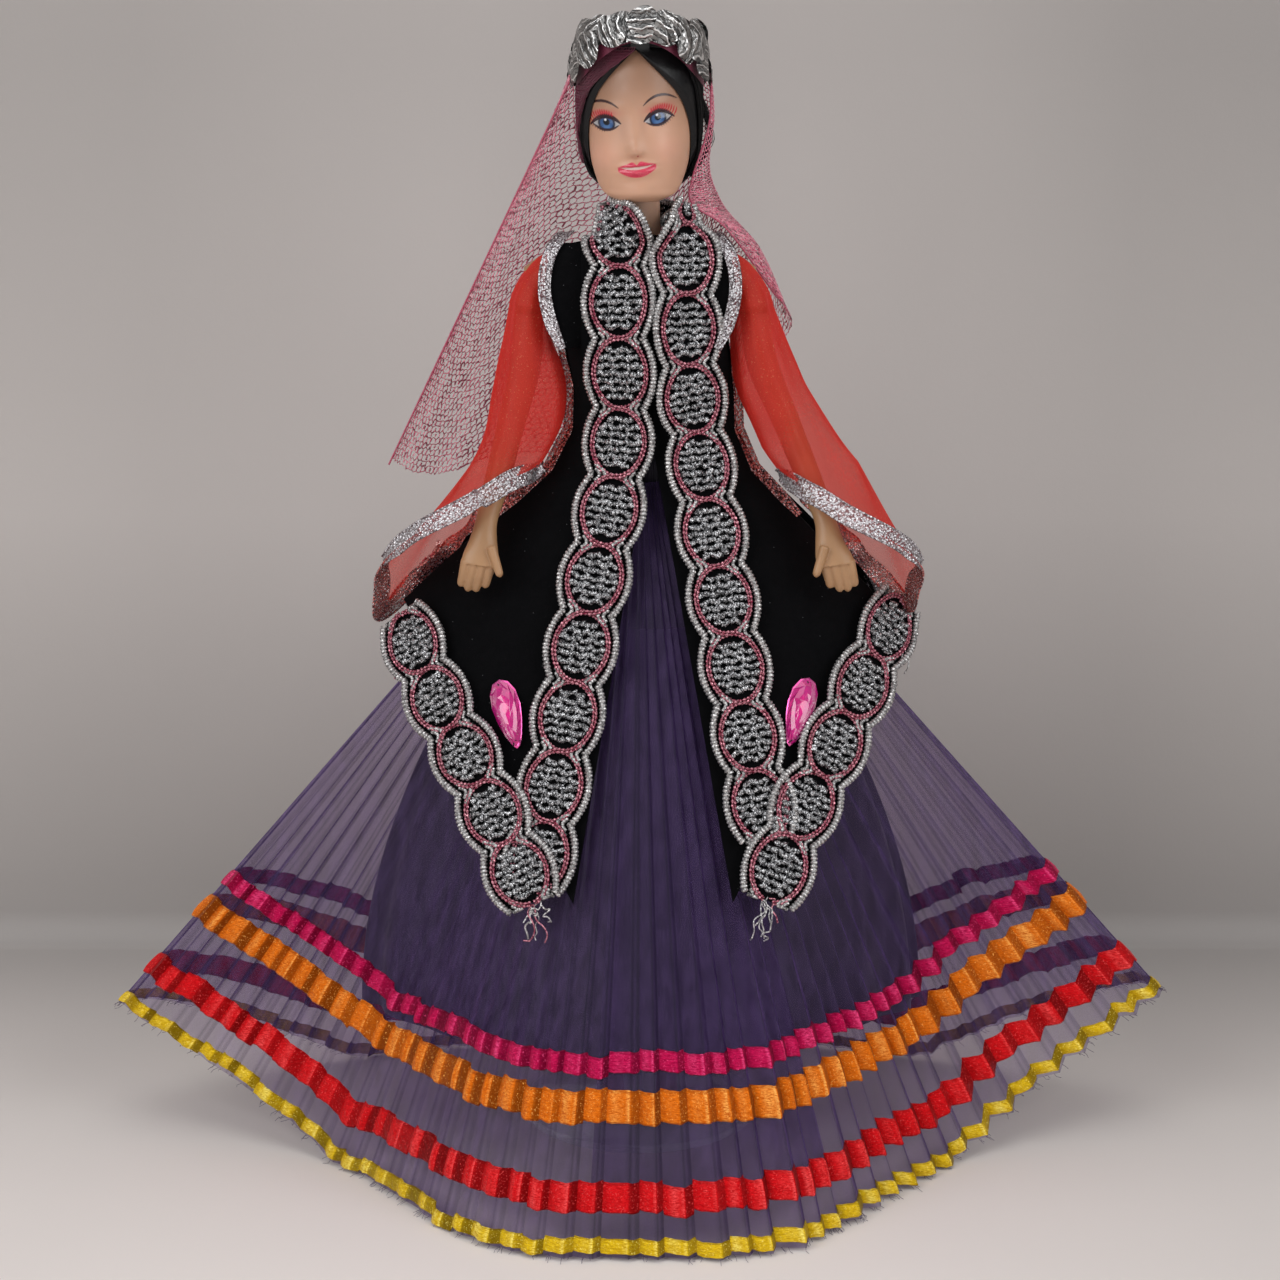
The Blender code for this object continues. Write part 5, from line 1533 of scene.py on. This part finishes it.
# The neck's outline: height and radius.
NECK = ((234.0, 8.6), (237.0, 6.2), (241.0, 5.3), (247.0, 5.0), (252.0, 4.9))


def build_neck():
    """The vinyl neck, flaring on to the shoulders; its colour is lighter than the face's as painted light."""
    profile = curve_through(range(len(NECK)), NECK, np.linspace(0, len(NECK) - 1, 40))
    turn = np.arange(60) / 60 * TAU
    z, radius = profile[:, :1], profile[:, 1:]
    rows = np.stack([radius * np.sin(turn), -radius * np.cos(turn), z + 0 * turn], axis=-1)
    shape = Shape()
    shape.grid(rows, True)
    neck = shape.piece("neck_vinyl", [FACE], "torso", ["neck"])
    paint = neck.data.attributes.new("paint", "FLOAT_COLOR", "POINT")
    paint.data.foreach_set("color", np.tile((*NECK_VINYL_PAINTED_LIGHT, 0.0), rows.size // 3).astype(np.float32))


# The hair's lower edge: a pointed arch over the face, then down to the nape.
HAIRLINE_TURN = np.radians((0, 8, 18, 28, 44, 57, 68, 75, 80, 90, 100, 120, 180))
HAIRLINE_Z = np.array((285.0, 283.5, 281.3, 279.0, 275.3, 271.3, 266.8, 262.5, 258.5, 256.5, 254.5, 251.5,
                       250.0))


def hairline(turn):
    """Height of the hair's edge at a turn, following the tilt of the face."""
    turn = np.abs((np.asarray(turn) + math.pi) % TAU - math.pi) * np.sign(np.sin(turn) + 1e-9)
    front = np.maximum(0, np.cos(turn))
    shifted = np.abs(turn + 0.10 * front)
    return np.interp(shifted, HAIRLINE_TURN, HAIRLINE_Z)


def build_hair():
    """Nylon hair parted in the middle: a close cap under hundreds of combed strands."""
    turns = np.linspace(0, TAU, 140, endpoint=False)
    shares = np.linspace(0, 1, 30)
    grid_t, grid_s = np.meshgrid(turns, shares)
    z = mix(hairline(grid_t), CROWN_Z, grid_s)
    lift = 1.1 * np.minimum(1, grid_s * 9) + 0.15 * np.sin(grid_t * 60) * grid_s
    cap = head_point(z, grid_t, 0.35 + lift)
    cap[..., 2] += 1.1 * grid_s**3
    crown = cap[-1].mean(axis=0) + np.array((0, 0, 1.3))
    cap = np.concatenate([cap, mix(cap[-1], crown, 0.5)[None], np.broadcast_to(crown, cap[-1].shape)[None]])
    shape = Shape()
    shape.grid(cap, True)
    thick = np.interp(np.linspace(0, 1, 12), (0, 0.2, 1), (0.10, 0.14, 0.07))
    for _ in range(900):
        shape.tube(strand(), thick, 4)
    for _ in range(70):
        shape.tube(loose_strand(), 0.10, 4)
    shape.piece("hair_nylon", [HAIR], "head", ["hair"])


def strand():
    """One lock from the middle parting, round the side of the head to the nape."""
    side = random.choice((-1, 1))
    start_y = random.uniform(-11.5, 9.0)
    t = np.linspace(0, 1, 12)
    begin = math.atan2(0.6, -start_y / 12) if start_y < 0 else mix(1.2, 2.4, start_y / 9)
    begin = begin * 0.35 if start_y < -6 else begin
    end = random.uniform(1.9, 2.85)
    turn = mix(begin, end, t**0.8)
    low = hairline(turn)
    top = 289.0 - 0.030 * start_y**2
    floor = random.uniform(0.0, 1.0)
    z = mix(np.full(12, top), low + floor * 11 * (1 - t) + 0.4, smooth(0.0, 0.85, t) ** 0.9)
    z = np.maximum(z, low + 0.3)
    proud = 1.45 + random.uniform(0.0, 0.55) + 0.8 * np.sin(math.pi * t) * random.random()
    line = head_point(np.minimum(z, CROWN_Z), turn * side, proud)
    line[:, 2] += np.maximum(0, z - CROWN_Z) + 0.6 * (1 - t) ** 2
    return line


def loose_strand():
    """A hair that has slipped out of the combed mass beside the doll's left cheek."""
    lean = random.uniform(0, 1)
    points = np.array((
        (14.6, 2.0 + 3 * lean, 276.0), (16.6 + 0.8 * lean, 3.0 + 3 * lean, 268.0),
        (17.2 + 0.9 * lean, 3.0 + 4 * lean, 262.0), (15.2 + 0.8 * lean, 3.0 + 4 * lean, 257.5),
        (13.0, 5.0 + 3 * lean, 253.5),
    ))
    return rounded(points + random.normal(0, 0.25, points.shape), 1.6)


def band_low(turn):
    """Height of the headband's lower edge, a high arch over the forehead."""
    return 275.8 + 12.2 * np.maximum(0, np.cos(turn)) ** 2


def band_top(turn):
    """Height of the headband's upper edge."""
    return BAND_TOP + 0.6 + 2.6 * np.maximum(0, np.cos(turn)) ** 2


def build_headband():
    """Large overlapping foil sequins sewn in rows on a crimson cloth band."""
    shape = Shape()
    turns = np.linspace(0, TAU, 120, endpoint=False)
    low = band_low(turns) - 1.1 * np.maximum(0, np.cos(turns))
    top = band_top(turns) - 4.0
    band = []
    for share in np.linspace(0, 1, 6):
        ring = head_point(np.full(120, 276.0), turns, 2.9)
        ring[:, 2] = mix(low, top, share)
        ring[:, :2] *= 1 - 0.05 * share
        band.append(ring)
    shape.grid(np.stack(band), True, 1, 1.0)
    for row, (share, count) in enumerate(((0.0, 16), (0.5, 15), (1.0, 17))):
        for i in range(count):
            turn = (i + 0.5 * (row % 2) + random.uniform(-0.18, 0.18)) / count * TAU
            if row == 1 and math.cos(turn) > 0.80:
                continue
            sequin(shape, turn, share, 4.3 * random.uniform(0.94, 1.06))
    shape.piece("headband_sequins", [SEQUIN, BAND_CLOTH], "head", ["headband"])


def sequin(shape, turn, share, radius):
    """One crumpled disc, a little cupped and tilted, lying on its neighbours."""
    z = mix(band_low(turn) + 0.9 * radius, band_top(turn) - 0.9 * radius, share)
    centre = head_point(276.0, turn, 4.4 - 1.0 * share + random.uniform(0, 0.6))
    centre = np.array((centre[0], centre[1], z)) * np.array((1 - 0.05 * share, 1 - 0.05 * share, 1.0))
    out = unit(np.array((math.sin(turn), -math.cos(turn), 0.05 + 0.25 * share)))
    out = unit(out + random.normal(0, 0.10, 3))
    side = unit(np.cross((0, 0, 1.0), out))
    up = np.cross(out, side)
    spokes = np.arange(24) / 24 * TAU
    phase = random.uniform(0, TAU, 3)
    rows = []
    for ring in np.array([0.02, 0.25, 0.5, 0.72, 0.88, 1.0]):
        crumple = 0.20 * ring * (np.sin(spokes * 2 + phase[0]) + 0.7 * np.sin(spokes * 3 + phase[1])
                                 + 0.5 * np.sin(spokes * 5 + phase[2] + ring * 4))
        cup = -0.8 * ring**2
        reach = radius * ring * (1 + 0.03 * np.sin(spokes * 4 + phase[1]))
        rows.append(centre + np.outer(np.cos(spokes) * reach, side) + np.outer(np.sin(spokes) * reach, up)
                    + np.outer(crumple + cup, out))
    shape.grid(np.stack(rows), True, 0, random.random())


# ---------------------------------------------------------------- veil
VEIL_ROWS = np.array((0.0, 0.15, 0.30, 0.48, 0.72, 1.0))


def hanging(top, bottom, sag):
    """A rib of the veil that falls straight but for a little sag backwards."""
    share = VEIL_ROWS[:, None]
    return mix(np.array(top), np.array(bottom), share) + np.array((0, sag, 0)) * np.sin(math.pi * share)


# Ribs of the veil, from the doll's right front edge round its back to its left shoulder.
VEIL_RIBS = np.array((
    hanging((-17.6, -3.0, 277.0), (-66.5, 16.0, 177.0), 1.0),
    hanging((-17.0, 2.0, 280.0), (-57.0, 22.0, 171.5), 4.0),
    hanging((-13.0, 12.0, 283.0), (-40.0, 28.0, 175.0), 6.0),
    hanging((-5.0, 18.5, 284.0), (-15.0, 33.0, 177.0), 5.0),
    hanging((5.0, 18.5, 284.0), (9.0, 32.0, 182.0), 5.0),
    ((13.0, 12.0, 283.0), (14.5, 13.0, 270.0), (14.5, 13.0, 258.0), (16.5, 15.0, 246.0),
     (22.0, 19.0, 226.0), (28.0, 24.0, 198.0)),
    ((17.6, 3.0, 279.0), (18.6, 4.0, 268.0), (17.6, 4.5, 256.0), (20.5, 5.5, 247.0),
     (31.0, 9.0, 234.0), (40.0, 15.0, 212.0)),
    ((17.8, -2.0, 276.0), (17.2, -1.5, 266.0), (13.4, -2.5, 254.0), (12.8, -4.5, 247.5),
     (21.5, -3.5, 241.0), (35.5, 7.0, 222.0)),
))


def veil_point(u, v):
    """The veil's surface: u from the doll's right front edge round the back, v downwards."""
    count = len(VEIL_RIBS)
    down = curve_through(VEIL_ROWS, VEIL_RIBS.transpose(1, 0, 2).reshape(len(VEIL_ROWS), -1), v)
    down = down.reshape(np.shape(v) + (count, 3))
    place = u * (count - 1)
    first = np.clip(place.astype(int), 0, count - 2)
    t = (place - first)[..., None]

    def rib(k):
        index = np.broadcast_to(np.clip(k, 0, count - 1)[..., None, None], np.shape(k) + (1, 3))
        return np.take_along_axis(down, index, axis=-2)[..., 0, :]

    p0, p1, p2, p3 = rib(first - 1), rib(first), rib(first + 1), rib(first + 2)
    point = 0.5 * (2 * p1 + (p2 - p0) * t + (2 * p0 - 5 * p1 + 4 * p2 - p3) * t**2
                   + (3 * p1 - p0 - 3 * p2 + p3) * t**3)
    ripple = np.sin(u * 44 + 2 * np.sin(u * 9)) * (0.5 + 1.3 * v) * smooth(0.0, 0.12, u) * smooth(1.0, 0.9, u)
    point[..., 1] += ripple
    return point


def net_paths(width, drop, cell):
    """Lines of a hexagon net laid flat: zigzag rows and the short ties between them."""
    step_x, step_z, side = cell, cell * math.sqrt(3) / 2, cell / math.sqrt(3)
    columns, rows = int(width / step_x) * 2 + 1, int(drop / step_z)
    paths = []
    for r in range(rows):
        zig = [(c * step_x / 2, r * step_z + (side / 4 if (c + r) % 2 == 0 else -side / 4))
               for c in range(columns)]
        ties = [zig[c] for c in range(columns) if (c + r) % 2 == 0]
        paths.append(np.array(zig))
        if r < rows - 1:
            paths += [np.array([tie, (tie[0], tie[1] + step_z - side / 2)]) for tie in ties]
    return paths


def build_veil():
    """Real net: a hexagon mesh of thin yarn wrapped over the veil's surface."""
    drop, cell = 108.0, 1.80
    levels = np.linspace(0, 1, 12)
    around = np.linspace(0, 1, 120)
    widths = []
    for v in levels:
        row = veil_point(around, np.full(120, v))
        widths.append(np.linalg.norm(np.diff(row, axis=0), axis=1).sum())
    shape = Shape()
    for flat in net_paths(max(widths), drop, cell):
        v = np.clip(flat[:, 1] / drop + random.normal(0, 0.0018, len(flat)), 0, 1)
        u = flat[:, 0] / np.interp(v, levels, widths) + random.normal(0, 0.0012, len(flat))
        inside = u <= 1.0
        if inside.sum() < 2:
            continue
        line = veil_point(np.clip(u[inside], 0, 1), v[inside])
        knots = random.uniform(0, 1, len(line)) ** 4
        thin = 1 - 0.35 * smooth(0.70, 0.88, np.clip(u[inside], 0, 1))
        shape.tube(line, (0.17 + 0.19 * knots) * thin, 3, 0, knots)
    for edge in (0.0, 1.0):
        v = np.linspace(0, 1, 90)
        shape.tube(veil_point(np.full(90, edge), v), 0.26, 5, 0, 0.8)
    veil = shape.piece("veil_tulle", [TULLE])
    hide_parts("veil")
    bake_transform(veil)
    build_inner_veil()


def build_inner_veil():
    """The doubled fold of net that lies on the hair beside the face."""
    shape = Shape()
    z = np.linspace(285.5, 257.0, 40)
    inner = -np.interp(-z, -HAIRLINE_Z[:10], HAIRLINE_TURN[:10]) - 0.20 + 0.10 * smooth(275, 285, z)
    for layer in range(3):
        for share in np.linspace(0, 1, 34):
            turn = mix(inner, math.radians(-104), share)
            path = head_point(z, turn, 1.9 + 0.5 * share + 0.3 * layer)
            shape.tube(path + random.normal(0, 0.07, path.shape), 0.13, 3, 0, 0.75)
        for row in range(len(z)):
            share = np.linspace(0, 1, 26)
            turn = mix(inner[row], math.radians(-104), share)
            path = head_point(np.full(26, z[row]), turn, 1.9 + 0.5 * share + 0.3 * layer)
            shape.tube(path + random.normal(0, 0.10, path.shape), 0.13, 3, 0, 0.75)
    shape.piece("veil_fold_tulle", [BAND_CLOTH], "head", [])


# ---------------------------------------------------------------- parts kept from the frame
def dress_frame():
    """Give the CAD parts that stay visible their look: body, legs, pin and stand."""
    finish = {"torso_front": SKIN, "torso_back": SKIN, "hip_keel": SKIN, "leg_left": SKIN,
              "leg_right": SKIN, "hip_pin": CLEAR, "stand_base": CLEAR, "stand_post": CLEAR,
              "stand_clip": CLEAR}
    for node, material in finish.items():
        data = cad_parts[node].data
        data.materials.clear()
        data.materials.append(material)
        data.polygons.foreach_set("use_smooth", np.full(len(data.polygons), node != "hip_keel"))


# ---------------------------------------------------------------- studio
def build_studio():
    """A pale sweep, floor to wall, with painted light falloff in its grey, and a window-like light on each
    side.
    """
    wall_y, radius, reach = 137.0, 10.0, 1600.0
    bend = np.linspace(0, math.pi / 2, 8)
    floor_y = np.concatenate([np.linspace(-2200, -200, 4), np.linspace(-150, wall_y - radius, 24)])
    profile = [(y, 0.0) for y in floor_y[:-1]]
    profile += [(wall_y - radius + radius * math.sin(t), radius - radius * math.cos(t)) for t in bend]
    profile += [(wall_y, z) for z in np.concatenate([np.linspace(20, 400, 20), [1600]])]
    profile = np.array(profile)
    x = np.concatenate([[-reach], np.linspace(-300, 300, 13), [reach]])
    rows = np.stack([np.broadcast_to(x, (len(profile), len(x))),
                     np.repeat(profile[:, :1], len(x), axis=1),
                     np.repeat(profile[:, 1:], len(x), axis=1)], axis=-1)
    # Painted light falloff: the floor darkens from front to back and the wall is darker at its foot and top.
    floor_painted_falloff = np.interp(profile[:, 0], (-160, -60, 60, wall_y), (0.88, 0.80, 0.56, 0.38))
    wall_painted_falloff = np.interp(profile[:, 1], (0, 60, 145, 285), (0.37, 0.45, 0.57, 0.43))
    grey = np.where(profile[:, 1] > 0.5, wall_painted_falloff, floor_painted_falloff)[:, None]
    # Painted shade towards the sides, growing with height and stronger on the +x side.
    painted_side_shade = 0.04 + 0.14 * np.clip(profile[:, 1:] / 285, 0, 1) + 0.10 * (x > 0)
    grey = grey * (1 - painted_side_shade * np.clip(np.abs(x) / 160, 0, 1) ** 2)
    shape = Shape()
    shape.grid(rows, mark=grey.ravel())
    sweep = shape.piece("studio_sweep", [backdrop_material()])
    add_light("key_left", (-0.75, -0.75, 0.75), (0, 0, 0.13), 0.75, 6.4)
    add_light("key_right", (0.85, -0.70, 0.70), (0, 0, 0.13), 0.75, 5.5)
    add_light("top_fill", (0.0, -0.25, 1.25), (0, 0, 0.1), 0.9, 2.9)
    add_light("front_fill", (0.0, -1.1, 0.22), (0, 0, 0.20), 0.35, 0.9)
    world = bpy.data.worlds.new("studio")
    world.use_nodes = True
    world.node_tree.nodes["Background"].inputs["Color"].default_value = (0.93, 0.96, 1.0, 1.0)
    world.node_tree.nodes["Background"].inputs["Strength"].default_value = 0.29
    bpy.context.scene.world = world


def add_light(name, place, target, size, power):
    data = bpy.data.lights.new(name, "AREA")
    data.size = size
    data.energy = power
    lamp = bpy.data.objects.new(name, data)
    lamp.location = place
    lamp.rotation_euler = (Vector(target) - Vector(place)).to_track_quat("-Z", "Y").to_euler()
    bpy.context.scene.collection.objects.link(lamp)


def build_camera():
    data = bpy.data.cameras.new("camera")
    data.lens = 75.94
    data.sensor_width = 36.0
    camera = bpy.data.objects.new("camera", data)
    camera.location = (0.0, -0.690, 0.300)
    camera.rotation_euler = (math.radians(90 - 13.6), 0, 0)
    bpy.context.scene.collection.objects.link(camera)
    bpy.context.scene.camera = camera


build_skirt()
build_lining()
build_vest()
build_blouse()
build_braids()
build_tails()
build_trims()
build_gems()
for label, side in (("left", 1), ("right", -1)):
    build_arm(label, side)
    build_sleeve(label, side)
build_head()
build_neck()
build_hair()
build_headband()
build_veil()
dress_frame()
build_studio()
build_camera()
bpy.context.scene.view_settings.view_transform = "Standard"
bpy.context.scene.cycles.transparent_max_bounces = 32
